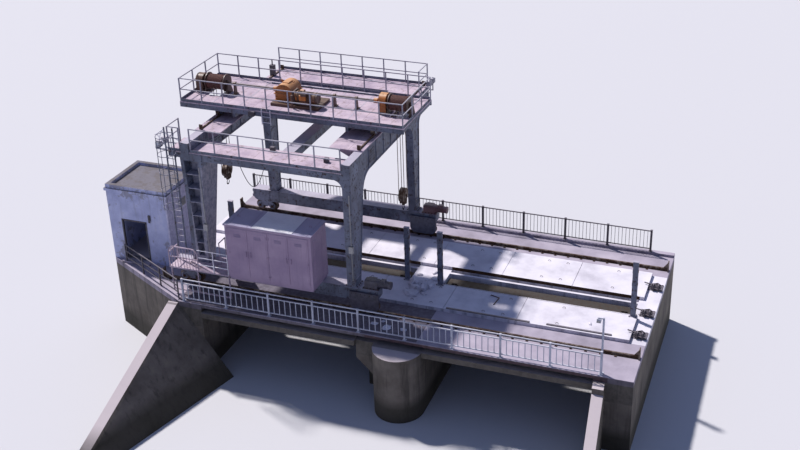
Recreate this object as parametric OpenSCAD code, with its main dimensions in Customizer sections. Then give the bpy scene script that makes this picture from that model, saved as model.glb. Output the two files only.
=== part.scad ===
// Two-bay sluice with a travelling gate crane.
// X runs along the dam, Y upstream, Z up. The origin is under the centre pier,
// halfway between the crane rails, at the level where the piers meet the water.

/* [Waterway] */
// Clear width of each bay
bay_w = 7000; // [6000:50:8000]
// Width of the centre pier
pier_w = 2900; // [2700:50:3300]
// Width of the pier's round nose
nose_w = 2100; // [1800:50:2400]
// Height of the deck over the foot of the piers
deck_z = 3400; // [3200:50:4200]
// Length of the left abutment along the dam
left_abut_l = 2750; // [2600:50:3500]
// Length of the right abutment along the dam
right_abut_l = 1550; // [1400:50:2500]
// Thickness of the deck slabs
slab_t = 250; // [200:10:350]
// Height of the precast cover slabs over the deck
cover_h = 150; // [80:10:250]
// Length of one precast cover slab
cover_l = 3150; // [2200:50:3500]
// Joint between cover slabs
cover_gap = 20; // [10:1:40]
// Depth of a gate slot in the pier and abutments
slot_d = 700; // [550:10:800]
// Length of each wing wall downstream
wing_l = 8200; // [7000:100:8600]
// Fall of the wing walls, per length
wing_fall = 0.38; // [0.3:0.005:0.4]
// Width of a wing wall's top
wing_w = 450; // [350:10:700]
// Height of the ledge beam under the footway
ledge_h = 240; // [150:10:300]

/* [Deck] */
// Distance between the two crane rails
gauge = 7100; // [6800:50:7500]
// Downstream edge of the footway, from the front rail
footway_w = 1600; // [1400:50:2000]
// Upstream edge of the deck, from the rear rail
rear_walk_w = 1500; // [1400:50:1800]
// Width of the gate slot across the deck
gate_slot_w = 1150; // [1100:10:1300]
// Width of the beam between gate slot and stoplog slot
slot_beam_w = 120; // [100:5:180]
// Width of the stoplog slot
stoplog_w = 220; // [150:10:300]
// Width of the front cover slabs
front_cover_w = 1900; // [1700:50:2000]
// Width of the rear cover slabs
rear_cover_w = 2150; // [1900:50:2300]
// Height of a crane rail
rail_h = 140; // [100:5:180]
// Width of a crane rail's head
rail_head_w = 70; // [50:1:80]
// Height of the railings
fence_h = 1070; // [950:10:1200]
// Distance between railing posts
fence_pitch = 2000; // [1500:50:2100]
// Balusters in one panel of the front railing
fence_bars = 7; // [5:1:9]
// Height of the gate guides over the deck
guide_h = 2700; // [2200:50:2800]

/* [Control building] */
// Length of the building along the dam
house_l = 3000; // [2800:50:3300]
// Depth of the building
house_d = 2600; // [2300:50:3000]
// Height of the building's walls
house_h = 3400; // [2900:50:3800]
// Thickness of the building's walls
wall_t = 250; // [150:10:320]
// Width of the doorway
door_w = 1250; // [900:10:1400]
// Height of the doorway
door_h = 1970; // [1900:10:2200]
// Height of the roof's parapet
parapet_h = 300; // [200:10:450]

/* [Gantry] */
// Distance between the two portal frames
frame_gap = 7150; // [7000:50:7400]
// Width of a portal frame's section
frame_w = 370; // [300:10:420]
// Height of the top of the portal frames over the deck
frame_top = 6800; // [6300:50:7200]
// Depth of the side girders
girder_d = 1000; // [800:50:1100]
// Depth of a front leg at its top
leg_top_d = 1350; // [1150:50:1450]
// Depth of a front leg at its foot
leg_foot_d = 600; // [560:10:700]
// Width of the wide left leg at its top
wide_leg_w = 1050; // [900:10:1150]
// Depth of a rear leg at its top
rear_leg_d = 850; // [700:10:950]
// Radius of the knee between leg and girder
knee_r = 800; // [500:50:900]
// Reach of the side girders past the rear rail
cantilever = 1800; // [1600:50:2200]
// Thickness of the plates and flanges that show
plate_t = 30; // [20:1:35]
// Height of the sill beams' tops over the deck
sill_top = 1250; // [1200:10:1400]
// Depth of the sill beams
sill_d = 600; // [500:10:620]
// Radius of the travel wheels
wheel_r = 230; // [180:5:230]
// Width of the front platform
platform_w = 1300; // [1000:50:1300]
// Height of the guard rails on the crane
guard_h = 1050; // [950:10:1150]
// Height of the switch cabin
cabin_h = 2600; // [2300:50:2700]

/* [Trolley] */
// Length of the trolley deck along the dam
crab_l = 10250; // [10000:50:10600]
// Depth of the trolley deck
crab_d = 3400; // [3100:50:3450]
// Height of the trolley deck over the side girders
crab_h = 700; // [650:10:900]
// Radius of the trolley's wheels
crab_wheel_r = 160; // [130:5:170]
// Radius of a rope drum
drum_r = 300; // [250:10:330]
// Radius of a hoist rope
rope_r = 14; // [10:1:18]
// Drop of a hook block's pin under the trolley deck
hook_drop = 3750; // [3000:50:3900]

/* [Gates] */
// Height of a gate leaf
gate_h = 2850; // [2500:50:2950]
// Depth of a gate leaf
gate_d = 800; // [650:10:850]
// Height of a gate's foot over the foot of the piers, as it hangs
gate_open = 420; // [300:10:450]
// Radius of a gate's rollers
roller_r = 230; // [180:5:240]

/* [Hidden] */
$fn = 32;
eps = 1;
seat = 0.3;
run_gap = 0.5;
pier_x = pier_w/2;
bay_x = pier_x + bay_w;
left_x = -bay_x - left_abut_l;
right_x = bay_x + right_abut_l;
front_y = -gauge/2;
rear_y = gauge/2;
deck_front = front_y - footway_w;
deck_rear = rear_y + rear_walk_w;
slab_z = deck_z - slab_t;
cover_z = deck_z + cover_h;
front_cover_y = front_y + 950;
slot_y = front_cover_y + front_cover_w;
slot_beam_y = slot_y + gate_slot_w;
stoplog_y = slot_beam_y + slot_beam_w;
rear_cover_y = stoplog_y + stoplog_w;
rear_walk_y = rear_cover_y + rear_cover_w;
fence_y = deck_front + 100;
rear_fence_y = deck_rear - 150;
corner_x = -bay_x - 1050;
house_x = left_x - house_l;
house_y = front_y + 860;
fence_panels = 9;
fence_x = corner_x + 200;
cover_end = bay_x + slot_d + 200;
guide_x = [-bay_x - slot_d, -pier_x + slot_d, pier_x - slot_d, bay_x + slot_d];
kerb_h = 120;
rail_top = deck_z + rail_h;

// Gantry places, with its left frame over the left abutment
left_frame_x = -bay_x - 750;
right_frame_x = left_frame_x + frame_gap;
top_z = deck_z + frame_top;
girder_z = top_z - girder_d;
sill_z = deck_z + sill_top;
sill_w = 520;
sill_x = left_frame_x - 1100;
sill_l = frame_gap + 2250;
leg_y = front_y - 300;
gantry_front = leg_y + 50;
gantry_rear = rear_y + cantilever;
platform_z = top_z - 400;
platform_t = 40;
platform_x = left_frame_x - 800;
walk_w = 1250;
axle_z = rail_top + run_gap + wheel_r;
bogie_pitch = 640;
bogie_x = [sill_x + bogie_pitch/2 + 300, sill_x + sill_l - bogie_pitch/2 - 300];
cabin_x = left_frame_x + 2000;
cabin_l = 3850;
cabin_d = 1450;
cabin_y = front_y - 1150;

// Trolley places, over the gate slots
crab_rail_h = 60;
crab_rail_z = top_z + platform_t + crab_rail_h;
crab_axle_z = crab_rail_z + run_gap + crab_wheel_r;
crab_top = top_z + crab_h;
crab_t = 50;
crab_x = left_frame_x - 1600;
crab_y = front_y + 2250;
drum_y = crab_y + 1450;
drum_z = crab_top + 480;
drum_l = 900;
drum_xs = [left_frame_x - 520 - drum_l/2, right_frame_x + 820 - drum_l/2];
drive_x = left_frame_x + 2450;

// A box from one corner to the other
module block(a, b) {
    translate(a)
        cube([b[0] - a[0], b[1] - a[1], b[2] - a[2]]);
}

// A round bar along X, Y or Z from a point
module bar_x(p, l, r, n = 16) {
    translate(p)
        rotate([0, 90, 0])
            cylinder(h = l, r = r, $fn = n);
}

module bar_y(p, l, r, n = 16) {
    translate(p)
        rotate([-90, 0, 0])
            cylinder(h = l, r = r, $fn = n);
}

// A plate drawn in X and Z, standing across Y from y0
module plate_xz(y0, t) {
    translate([0, y0 + t, 0])
        rotate([90, 0, 0])
            linear_extrude(t)
                children();
}

// A plate drawn in Y and Z, standing across X from x0
module plate_yz(x0, t) {
    translate([x0, 0, 0])
        rotate([90, 0, 90])
            linear_extrude(t)
                children();
}

// A slab drawn in X and Y, lying at z0
module plate_xy(z0, t) {
    translate([0, 0, z0])
        linear_extrude(t)
            children();
}

// Rectangle in 2D whose foot (s = 1) or head (s = -1) corners are rounded
module tub(a, b, r, s = 1) {
    z = s > 0 ? a[1] : b[1];
    difference() {
        translate(a)
            square([b[0] - a[0], b[1] - a[1]]);
        for (x = [a[0], b[0]])
            difference() {
                translate([x - r, z - r])
                    square(2*r);
                translate([x == a[0] ? x + r : x - r, z + s*r])
                    circle(r);
                translate([x == a[0] ? x + r : a[0] - r, z - 3*r])
                    square([b[0] - a[0], 6*r]);
                translate([a[0] - r, s > 0 ? z + r : z - 3*r])
                    square([b[0] - a[0] + 2*r, 2*r]);
            }
    }
}

// Fillet in 2D between a leg's edge, at e0 on the beam and e1 one radius under it, and a
// beam's underside at z; s is the side that the opening lies on. It bites into both a little,
// so that the arc crosses their edges cleanly
module knee(e0, e1, z, r, s) {
    bite = 12;
    grip = 50;
    a = atan2(s*(e0 - e1), r);
    c = [e1 + s*(r/cos(a) - bite), z - r + bite];
    difference() {
        polygon([
            [e0 - s*grip, z + grip], [c[0] - s*r*cos(a) - s*grip, c[1] + r*sin(a)], c,
            [c[0], z + grip]
        ]);
        translate(c)
            circle(r, $fn = 48);
    }
}

// Masonry

// Gate and stoplog slots at a face of the pier or an abutment
module slot_cut(x) {
    block([x - slot_d, slot_y, -eps], [x + slot_d, slot_beam_y, slab_z + eps]);
    block([x - slot_d/2, stoplog_y, -eps], [x + slot_d/2, rear_cover_y, slab_z + eps]);
}

module left_abutment() {
    color("silver")
        difference() {
            linear_extrude(slab_z)
                polygon([
                    [-bay_x, deck_front], [corner_x, deck_front], [house_x, house_y],
                    [left_x, house_y], [left_x, deck_rear], [-bay_x, deck_rear]
                ]);
            slot_cut(-bay_x);
        }
}

module right_abutment() {
    color("silver")
        difference() {
            block([bay_x, deck_front, 0], [right_x, deck_rear, slab_z]);
            slot_cut(bay_x);
        }
}

// The pier's round nose stands to the right, and a corbel carries its left part
module centre_pier() {
    nose_r = nose_w/2;
    nose_x = pier_x - nose_r;
    nose_y = deck_front + 100;
    nose_z = slab_z - 160;
    corbel_d = 1200;
    corbel_h = 850;
    corbel_x = pier_x - nose_w;
    tail_r = 900;
    color("silver")
        difference() {
            union() {
                linear_extrude(nose_z)
                    union() {
                        translate([nose_x, nose_y])
                            circle(nose_r, $fn = 48);
                        translate([corbel_x, nose_y])
                            square([nose_w, corbel_d]);
                    }
                plate_xz(nose_y, corbel_d)
                    polygon([
                        [corbel_x, nose_z - corbel_h - pier_w + nose_w], [corbel_x, nose_z],
                        [-pier_x, nose_z], [-pier_x, nose_z - corbel_h]
                    ]);
                linear_extrude(slab_z)
                    difference() {
                        translate([-pier_x, nose_y + corbel_d])
                            square([pier_w, deck_rear - nose_y - corbel_d]);
                        for (s = [-1, 1])
                            translate([s*(pier_x - tail_r), deck_rear - tail_r])
                                difference() {
                                    translate([s > 0 ? 0 : -tail_r - eps, 0])
                                        square(tail_r + eps);
                                    circle(tail_r, $fn = 48);
                                }
                    }
                block([-pier_x + 100, nose_y + 500, nose_z], [pier_x - 100, nose_y + corbel_d, slab_z]);
            }
            slot_cut(-pier_x);
            slot_cut(pier_x);
        }
}

// Left wing wall: its face leans back from the abutment's foot, and its top falls with the bank
module left_wing_wall() {
    top = deck_z - 80;
    batter = 0.7;
    end_l = min(wing_l, top/wing_fall);
    end_h = top - wing_fall*end_l + 80;
    x0 = corner_x - wing_w - 50;
    y0 = deck_front;
    y1 = deck_front - end_l;
    color("silver")
        polyhedron(
            points = [
                [x0, y0, 0], [x0 + wing_w + batter*top, y0, 0], [x0 + wing_w, y0, top], [x0, y0, top],
                [x0, y1, 0], [x0 + wing_w + 20, y1, 0], [x0 + wing_w, y1, end_h], [x0, y1, end_h]
            ],
            faces = [[0, 1, 2, 3], [4, 7, 6, 5], [0, 4, 5, 1], [3, 2, 6, 7], [0, 3, 7, 4], [1, 5, 2],
                [2, 5, 6]]
        );
}

module right_wing_wall() {
    top = slab_z - 60;
    end_l = min(wing_l, top/wing_fall);
    splay = 0.1*end_l;
    cap_l = 500;
    color("silver")
        intersection() {
            translate([bay_x, deck_front, 0])
                linear_extrude(slab_z)
                    polygon([[0, 0], [splay, -end_l], [splay + wing_w, -end_l], [wing_w, 0]]);
            translate([0, deck_front, 0])
                plate_yz(bay_x, splay + wing_w)
                    polygon([
                        [0, 0], [0, slab_z], [-cap_l, slab_z], [-cap_l, top - wing_fall*cap_l],
                        [-end_l, top - wing_fall*end_l + 80], [-end_l, 0]
                    ]);
        }
}

// Deck

// Footway slab with its thinner front lip
module footway() {
    lip_d = 180;
    lip_t = 140;
    color("gainsboro")
        difference() {
            plate_xy(slab_z, slab_t)
                polygon([
                    [house_x, house_y], [corner_x, deck_front], [right_x, deck_front],
                    [right_x, front_cover_y], [left_x, front_cover_y], [left_x, house_y]
                ]);
            block([-bay_x, deck_front - eps, slab_z - eps], [bay_x, deck_front + lip_d, deck_z - lip_t]);
        }
}

// Ledge beams at the face of each bay, and deep beams under the crane rails
module deck_beams() {
    ledge_z = slab_z - 130 - ledge_h;
    beam_d = 650;
    beam_w = 500;
    color("darkgray") {
        for (x = [-bay_x, pier_x])
            block([x, deck_front - 60, ledge_z], [x + bay_w, deck_front + 240, ledge_z + ledge_h]);
        for (x = [-bay_x, pier_x])
            block([x, deck_front + 240, ledge_z], [x + bay_w, deck_front + 500, slab_z]);
        for (x = [-bay_x, pier_x], y = [front_y, rear_y])
            block([x, y - beam_w/2, slab_z - beam_d], [x + bay_w, y + beam_w/2, slab_z]);
    }
}

// One row of precast slabs, laid back from their right end
module cover_row(y, w, first_l) {
    n = ceil((cover_end - left_x - first_l)/cover_l);
    for (i = [-1 : n - 1]) {
        x1 = i < 0 ? cover_end : cover_end - first_l - i*cover_l;
        x0 = max(left_x, cover_end - first_l - (i + 1)*cover_l);
        if (x1 - x0 > 400)
            block([x0 + cover_gap/2, y, slab_z], [x1 - cover_gap/2, y + w, cover_z]);
    }
}

module cover_slabs() {
    color("whitesmoke") {
        cover_row(front_cover_y, front_cover_w, 1.5*cover_l);
        cover_row(rear_cover_y, rear_cover_w, cover_l);
    }
}

// Beam between the two slots, with the deck's concrete round the slots' ends
module slot_beam() {
    color("lightgray")
        union() {
            for (x = [-bay_x - slot_d, pier_x - slot_d])
                block([x, slot_beam_y, slab_z], [x + bay_w + 2*slot_d, stoplog_y, deck_z]);
            for (x = [[left_x, -bay_x - slot_d], [-pier_x + slot_d, pier_x - slot_d], [bay_x + slot_d,
                right_x]])
                block([x[0], slot_y, slab_z], [x[1], rear_cover_y, deck_z]);
            block([cover_end, front_cover_y, slab_z], [right_x, rear_walk_y, deck_z]);
        }
}

module rear_walkway() {
    kerb_w = 250;
    color("thistle")
        union() {
            block([left_x, rear_walk_y, slab_z], [right_x, deck_rear, deck_z]);
            block([left_x, deck_rear - kerb_w, slab_z], [right_x, deck_rear, deck_z + kerb_h]);
        }
}

// Flat-bottomed rails, with an upright stop plate over each end
module crane_rails() {
    foot_w = 130;
    foot_t = 20;
    web_w = 22;
    head_t = 42;
    x0 = left_x + 50;
    x1 = right_x - 50;
    color("black")
        for (y = [front_y, rear_y])
            union() {
                translate([0, y, deck_z])
                    plate_yz(x0, x1 - x0)
                        polygon([
                            [-foot_w/2, 0], [foot_w/2, 0], [foot_w/2, foot_t*0.6], [web_w/2, foot_t*1.4],
                            [web_w/2, rail_h - head_t*1.3], [rail_head_w/2, rail_h - head_t],
                                [rail_head_w/2, rail_h],
                            [-rail_head_w/2, rail_h], [-rail_head_w/2, rail_h - head_t], [-web_w/2,
                                rail_h - head_t*1.3],
                            [-web_w/2, foot_t*1.4], [-foot_w/2, foot_t*0.6]
                        ]);
                for (x = [x0, x1 - 40])
                    block([x, y - 120, deck_z], [x + 40, y + 120, rail_top + 330]);
                plate_xz(y - 15, 30)
                    polygon([[x0, deck_z], [x0 + 240, rail_top], [x0, rail_top + 330]]);
                plate_xz(y - 15, 30)
                    polygon([[x1, deck_z], [x1 - 240, rail_top], [x1, rail_top + 330]]);
            }
}

// Railing along X: posts, rails and thin balusters between the two lower rails
module fence_run(x0, y, z0, n, post, rails, bars, bar_w) {
    for (i = [0 : n])
        block(
            [x0 + i*fence_pitch - post/2, y - post/2, z0],
            [x0 + i*fence_pitch + post/2, y + post/2, z0 + fence_h]
        );
    for (z = rails)
        block([x0, y - 20, z0 + z], [x0 + n*fence_pitch, y + 20, z0 + z + 40]);
    step = fence_pitch/(bars + 1);
    for (i = [0 : n - 1], j = [1 : bars])
        block(
            [x0 + i*fence_pitch + j*step - bar_w/2, y - bar_w/2, z0 + rails[0] + 40],
            [x0 + i*fence_pitch + j*step + bar_w/2, y + bar_w/2, z0 + rails[1]]
        );
}

module front_railing() {
    color("lightsteelblue")
        union() {
            fence_run(fence_x, fence_y, deck_z, fence_panels, 70, [130, fence_h - 240, fence_h - 40],
                fence_bars, 28);
        }
}

module rear_railing() {
    n = floor((right_x - left_x - 1200)/fence_pitch);
    x0 = right_x - 1100 - n*fence_pitch;
    color("dimgray")
        union() {
            fence_run(x0, rear_fence_y, deck_z + kerb_h, n, 90, [110, fence_h - 60], 11, 18);
        }
}

// Three-rail handrail along the skewed front of the left abutment
module bank_handrail() {
    dx = house_x - corner_x;
    dy = house_y - deck_front;
    n = 3;
    l = norm([dx, dy]) - 1000;
    color("gray")
        translate([corner_x, deck_front, deck_z])
            rotate([0, 0, atan2(dy, dx)])
                union() {
                    for (i = [0 : n])
                        block([150 + i*l/n, -145, 0], [200 + i*l/n, -95, 950]);
                    for (z = [300, 600, 910])
                        block([150, -140, z], [200 + l, -100, z + 40]);
                }
}

// Channel posts over the ends of the gate slots
module gate_guides() {
    post_w = 220;
    post_d = 120;
    post_y = slot_y - 30 - post_d;
    t = 16;
    color("slategray")
        for (x = guide_x)
            union() {
                plate_xy(cover_z, deck_z + guide_h - cover_z)
                    difference() {
                        translate([x - post_w/2, post_y])
                            square([post_w, post_d]);
                        translate([x - post_w/2 + t, post_y + t])
                            square([post_w - 2*t, post_d]);
                    }
                block(
                    [x - post_w/2 - 50, post_y - 50, cover_z],
                    [x + post_w/2 + 50, post_y + post_d + 20, cover_z + 20]
                );
                block(
                    [x - post_w/2 - 10, post_y - 10, deck_z + guide_h],
                    [x + post_w/2 + 10, post_y + post_d + 10, deck_z + guide_h + 20]
                );
                for (z = [0.3, 0.6])
                    block(
                        [x - post_w/2 + t, post_y + t, cover_z + z*(guide_h - cover_h)],
                        [x + post_w/2 - t, post_y + post_d, cover_z + z*(guide_h - cover_h) + t]
                    );
            }
}

// Low hooks that hold a raised gate, on the deck past the right slot
module gate_latches() {
    x0 = cover_end + 60;
    x1 = right_x - 80;
    color("darkslategray")
        for (y = [front_cover_y + 700, slot_y + 500, rear_cover_y + 1200])
            union() {
                block([x0, y - 110, deck_z], [x1, y + 110, deck_z + 25]);
                for (s = [-1, 1])
                    plate_xz(y + s*60 - 12, 24)
                        polygon([
                            [x0 + 60, deck_z + 25], [x1 - 60, deck_z + 25], [x1 - 60, deck_z + 120],
                            [x1 - 200, deck_z + 210], [x0 + 60, deck_z + 130]
                        ]);
                bar_y([x1 - 200, y - 72, deck_z + 130], 144, 40);
            }
}

module lamp_post() {
    x = fence_x + fence_panels*fence_pitch;
    y = fence_y + 110;
    lamp_h = 2500;
    color("gray")
        union() {
            block([x - 90, y - 60, deck_z], [x + 90, y + 90, deck_z + 20]);
            block([x - 35, y - 35, deck_z], [x + 35, y + 35, deck_z + lamp_h]);
            block([x - 220, y - 20, deck_z + lamp_h - 60], [x + 35, y + 20, deck_z + lamp_h - 20]);
            plate_yz(x - 260, 160)
                polygon([
                    [y - 120, deck_z + lamp_h - 190], [y + 60, deck_z + lamp_h - 190],
                    [y + 60, deck_z + lamp_h - 60], [y - 60, deck_z + lamp_h - 60]
                ]);
        }
}

// Control building

// Foundation, with the floor that the doorway shows
module house_foundation() {
    floor_t = 100;
    color("silver")
        union() {
            block([house_x, house_y, 0], [left_x, house_y + house_d, deck_z]);
            block(
                [house_x + wall_t, house_y + wall_t, deck_z - eps],
                [left_x - wall_t, house_y + house_d - wall_t, deck_z + floor_t]
            );
        }
}

module house_front_wall() {
    door_x = house_x + 620;
    color("aliceblue")
        plate_xz(house_y, wall_t)
            difference() {
                translate([house_x, deck_z])
                    square([house_l, house_h]);
                translate([door_x, deck_z + 100])
                    square([door_w, door_h]);
            }
}

module house_walls() {
    y0 = house_y + wall_t;
    y1 = house_y + house_d;
    color("aliceblue")
        plate_xy(deck_z, house_h)
            difference() {
                translate([house_x, y0])
                    square([house_l, y1 - y0]);
                translate([house_x + wall_t, y0 - eps])
                    square([house_l - 2*wall_t, y1 - wall_t - y0 + eps]);
            }
}

// Flat roof slab that oversails a little, inside its parapet
module house_roof() {
    z0 = deck_z + house_h;
    over = 60;
    parapet_t = 180;
    color("rosybrown")
        difference() {
            union() {
                block(
                    [house_x - over, house_y - over, z0],
                    [left_x + over, house_y + house_d + over, z0 + 120]
                );
                block([house_x, house_y, z0], [left_x, house_y + house_d, z0 + parapet_h]);
            }
            block(
                [house_x + parapet_t, house_y + parapet_t, z0 + 160],
                [left_x - parapet_t, house_y + house_d - parapet_t, z0 + parapet_h + eps]
            );
        }
}

// Gantry

front_foot = leg_y + leg_foot_d;
front_head = leg_y + leg_top_d;
rear_foot = [rear_y - 250, rear_y + 250];
rear_head = [rear_y + 450 - rear_leg_d, rear_y + 450];

// Y of a leg's edge at a height, from its foot a to its head b
function leg_edge(a, b, z) = a + (b - a)*(z - sill_z)/(girder_z - sill_z);

// Points along an arc
function arc(c, r, a0, a1, n = 10) = [for (i = [0 : n]) c + r*[cos(a0 + (a1 - a0)*i/n),
    sin(a0 + (a1 - a0)*i/n)]];

// Slant of a leg's edge from the upright
function slant(a, b) = atan((b - a)/(girder_z - sill_z));

// Side view of a portal frame, set in by t from its edges, drawn as one closed outline
module frame_face(t) {
    zt = girder_z + t;
    r = knee_r + t;
    r2 = knee_r/2 + t;
    nose_z = girder_z + 450;
    a1 = slant(front_foot, front_head);
    a2 = -slant(rear_foot[0], rear_head[0]);
    a3 = slant(rear_foot[1], rear_head[1]);
    c1 = [leg_edge(front_foot, front_head, zt - r) - t + r/cos(a1), zt - r];
    c2 = [leg_edge(rear_foot[0], rear_head[0], zt - r) + t - r/cos(a2), zt - r];
    c3 = [leg_edge(rear_foot[1], rear_head[1], zt - r2) - t + r2/cos(a3), zt - r2];
    polygon(concat(
        [[leg_y + t, sill_z], [leg_y + t, top_z - t], [gantry_rear - t, top_z - t]],
        [[gantry_rear - t, nose_z + t], [rear_head[1] + 650, zt]],
        arc(c3, r2, 90, 180 - a3),
        [[rear_foot[1] - t, sill_z], [rear_foot[0] + t, sill_z]],
        arc(c2, r, a2, 90),
        arc(c1, r, 90, 180 - a1),
        [[front_foot - t, sill_z]]
    ));
}

// Box frame: its girder and rear leg have a web set back between flanges that follow the outline
module portal_frame(x) {
    lip = 35;
    x0 = x - frame_w/2;
    web_y = front_head + 60;
    difference() {
        plate_yz(x0, frame_w)
            frame_face(0);
        for (dx = [-eps, frame_w - lip])
            plate_yz(x0 + dx, lip + eps)
                intersection() {
                    frame_face(plate_t);
                    translate([web_y, sill_z + 300])
                        square([gantry_rear - web_y, top_z - sill_z]);
                }
    }
}

// The right frame's front leg has a sunk panel on both sides
module right_portal_frame() {
    color("slategray")
        difference() {
            portal_frame(right_frame_x);
            for (dx = [-frame_w/2 - eps, frame_w/2 - 25])
                plate_yz(right_frame_x + dx, 25 + eps)
                    polygon([
                        [leg_y + 50, sill_z + 350],
                        [leg_edge(front_foot, front_head, sill_z + 350) - 50, sill_z + 350],
                        [leg_edge(front_foot, front_head, girder_z - knee_r) - 50, girder_z - knee_r],
                        [leg_y + 50, girder_z - knee_r]
                    ]);
        }
}

wide_leg_foot = 550;
wide_leg_x = left_frame_x - 300;

// X of the wide leg's two edges at a height
function wide_left(z) = wide_leg_x + 300*(top_z - z)/(top_z - sill_z);
function wide_right(z) = wide_leg_x +
    wide_leg_w - (wide_leg_w - wide_leg_foot - 300)*(top_z - z)/(top_z - sill_z);

// Left frame, whose front leg is a wide battened box, open at the front
module left_portal_frame() {
    wide_top = platform_z - platform_t;
    ribs = 7;
    post_w = 160;
    pocket_d = 420;
    rib_t = 40;
    set_in = 10;
    z0 = sill_z + 350;
    step = (platform_z - 330 - z0)/ribs;
    color("slategray")
        difference() {
            union() {
                portal_frame(left_frame_x);
                intersection() {
                    plate_xz(leg_y + set_in, leg_top_d)
                        polygon([
                            [wide_left(sill_z), sill_z], [wide_right(sill_z), sill_z],
                            [wide_right(wide_top), wide_top], [wide_left(wide_top), wide_top]
                        ]);
                    plate_yz(wide_leg_x - eps, wide_leg_w + 2*eps)
                        polygon([
                            [leg_y, sill_z], [front_foot - set_in, sill_z], [front_head - set_in, girder_z],
                            [front_head - set_in, wide_top], [leg_y, wide_top]
                        ]);
                }
            }
            plate_xz(leg_y - eps, pocket_d)
                for (i = [0 : ribs - 1]) {
                    a = z0 + i*step;
                    b = a + step - rib_t;
                    polygon([
                        [wide_left(a) + post_w, a], [wide_right(a) - post_w, a],
                        [wide_right(b) - post_w, b], [wide_left(b) + post_w, b]
                    ]);
                }
        }
}

frame_l_face = left_frame_x + frame_w/2;
frame_r_face = right_frame_x - frame_w/2;

// Rounded bracket in 2D under a beam at z, against a leg's upright face at e; its toe stays thick
module bracket(e, z, r, s) {
    toe = 15;
    difference() {
        polygon([[e, z + 50], [e, z - r], [e + s*r, z - r], [e + s*r, z + 50]]);
        translate([e + s*(r + toe), z - r + 8])
            circle(r, $fn = 48);
    }
}

// Beams that join the two frames
module crossbeams() {
    t = 150;
    front_h = 300;
    joists = 5;
    rear_h = 600;
    z1 = platform_z - platform_t;
    z0 = z1 - front_h;
    r = 420;
    inner_y = gantry_front + platform_w - t;
    back_y = gantry_rear - walk_w;
    mid_x = left_frame_x + 3800;
    mid_w = 400;
    color("slategray")
        union() {
            plate_xz(gantry_front, t)
                union() {
                    polygon([
                        [wide_right(z0) + seat, z0], [frame_r_face, z0],
                        [frame_r_face, z1], [wide_right(z1) + seat, z1]
                    ]);
                    bracket(frame_r_face, z0, r, -1);
                }
            plate_xz(inner_y, t)
                polygon([
                    [wide_right(z0 + 80) + seat, z0 + 80], [frame_r_face, z0 + 80],
                    [frame_r_face, z1], [wide_right(z1) + seat, z1]
                ]);
            for (i = [1 : joists - 1]) {
                x = left_frame_x + i*frame_gap/joists;
                block([x - 40, gantry_front + t - eps, z1 - 160], [x + 40, inner_y + eps, z1]);
            }
            plate_xz(gantry_rear - t, t)
                union() {
                    translate([frame_l_face, top_z - front_h])
                        square([frame_r_face - frame_l_face, front_h]);
                    bracket(frame_r_face, top_z - front_h, r, -1);
                    bracket(frame_l_face, top_z - front_h, r, 1);
                }
            block([frame_l_face, back_y, top_z - rear_h], [frame_r_face, back_y + t, top_z]);
            for (i = [1 : joists - 1]) {
                x = left_frame_x + i*frame_gap/joists;
                block([x - 40, back_y + t - eps, top_z - 160], [x + 40, gantry_rear - t + eps, top_z]);
            }
            block(
                [mid_x, inner_y + t - eps, z1 - 400],
                [mid_x + mid_w, back_y + eps, z1 - 10]
            );
            block(
                [mid_x - 60, inner_y + t + seat, z1 - 10 - eps],
                [mid_x + mid_w + 60, back_y + eps, z1 + 20]
            );
        }
    color("slategray")
        plate_xz(gantry_front, t)
            polygon([
                [platform_x, z0 + 60], [wide_left(z0 + 60) - seat, z0 + 60], [wide_left(z1) - seat,
                    z1], [platform_x, z1]
            ]);
}

// Deck plates of the front platform, the two side walks and the rear walk
module gantry_platforms() {
    front_top = gantry_front + platform_w;
    rear_front = gantry_rear - walk_w;
    side_l = 750;
    gusset_n = 6;
    color("thistle") {
        plate_xy(platform_z - platform_t, platform_t)
            difference() {
                translate([platform_x, gantry_front - 20])
                    square([frame_r_face - platform_x, platform_w + 20]);
                translate([left_frame_x - frame_w/2 - seat, gantry_front - 20 - eps])
                    square([frame_w + 2*seat, platform_w + 22]);
            }
        plate_xy(top_z, platform_t)
            union() {
                translate([left_frame_x - frame_w/2 - 60, front_top])
                    square([frame_w + 60 + side_l, gantry_rear - front_top]);
                translate([frame_r_face - 1100, front_top])
                    square([frame_w + 1110, gantry_rear - front_top]);
                translate([left_frame_x - frame_w/2 - 60, rear_front])
                    square([frame_gap + frame_w + 70, walk_w]);
            }
        y0 = front_top + 300;
        step = (rear_front - 300 - y0)/(gusset_n - 1);
        for (i = [0 : gusset_n - 1]) {
            plate_xz(y0 + i*step, 30)
                polygon([
                    [frame_l_face, top_z - 500], [frame_l_face, top_z],
                    [frame_l_face + side_l - 60, top_z], [frame_l_face + side_l - 60, top_z - 80]
                ]);
            plate_xz(y0 + i*step, 30)
                polygon([
                    [frame_r_face, top_z - 600], [frame_r_face, top_z], [frame_r_face - 1050, top_z],
                    [frame_r_face - 1050, top_z - 80]
                ]);
        }
    }
}

// Box sill beams with rounded heels and a top flange
module sill_beams() {
    flange = 30;
    color("gainsboro")
        for (y = [front_y, rear_y])
            union() {
                plate_xz(y - sill_w/2 + 20, sill_w - 40)
                    tub([sill_x, sill_z - sill_d], [sill_x + sill_l, sill_z - flange/2], 280);
                block([sill_x, y - sill_w/2, sill_z - flange], [sill_x + sill_l, y + sill_w/2, sill_z]);
                for (x = [left_frame_x - 250, left_frame_x + 250, right_frame_x - 250,
                    right_frame_x + 250], s = [-1, 1])
                    block(
                        [x - 12, y + s*(sill_w/2 - 10) - 10, sill_z - sill_d + 20],
                        [x + 12, y + s*(sill_w/2 - 10) + 10, sill_z - flange]
                    );
            }
}

axle_r = 45;
cheek_y = 165;
cheek_t = 30;

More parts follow.
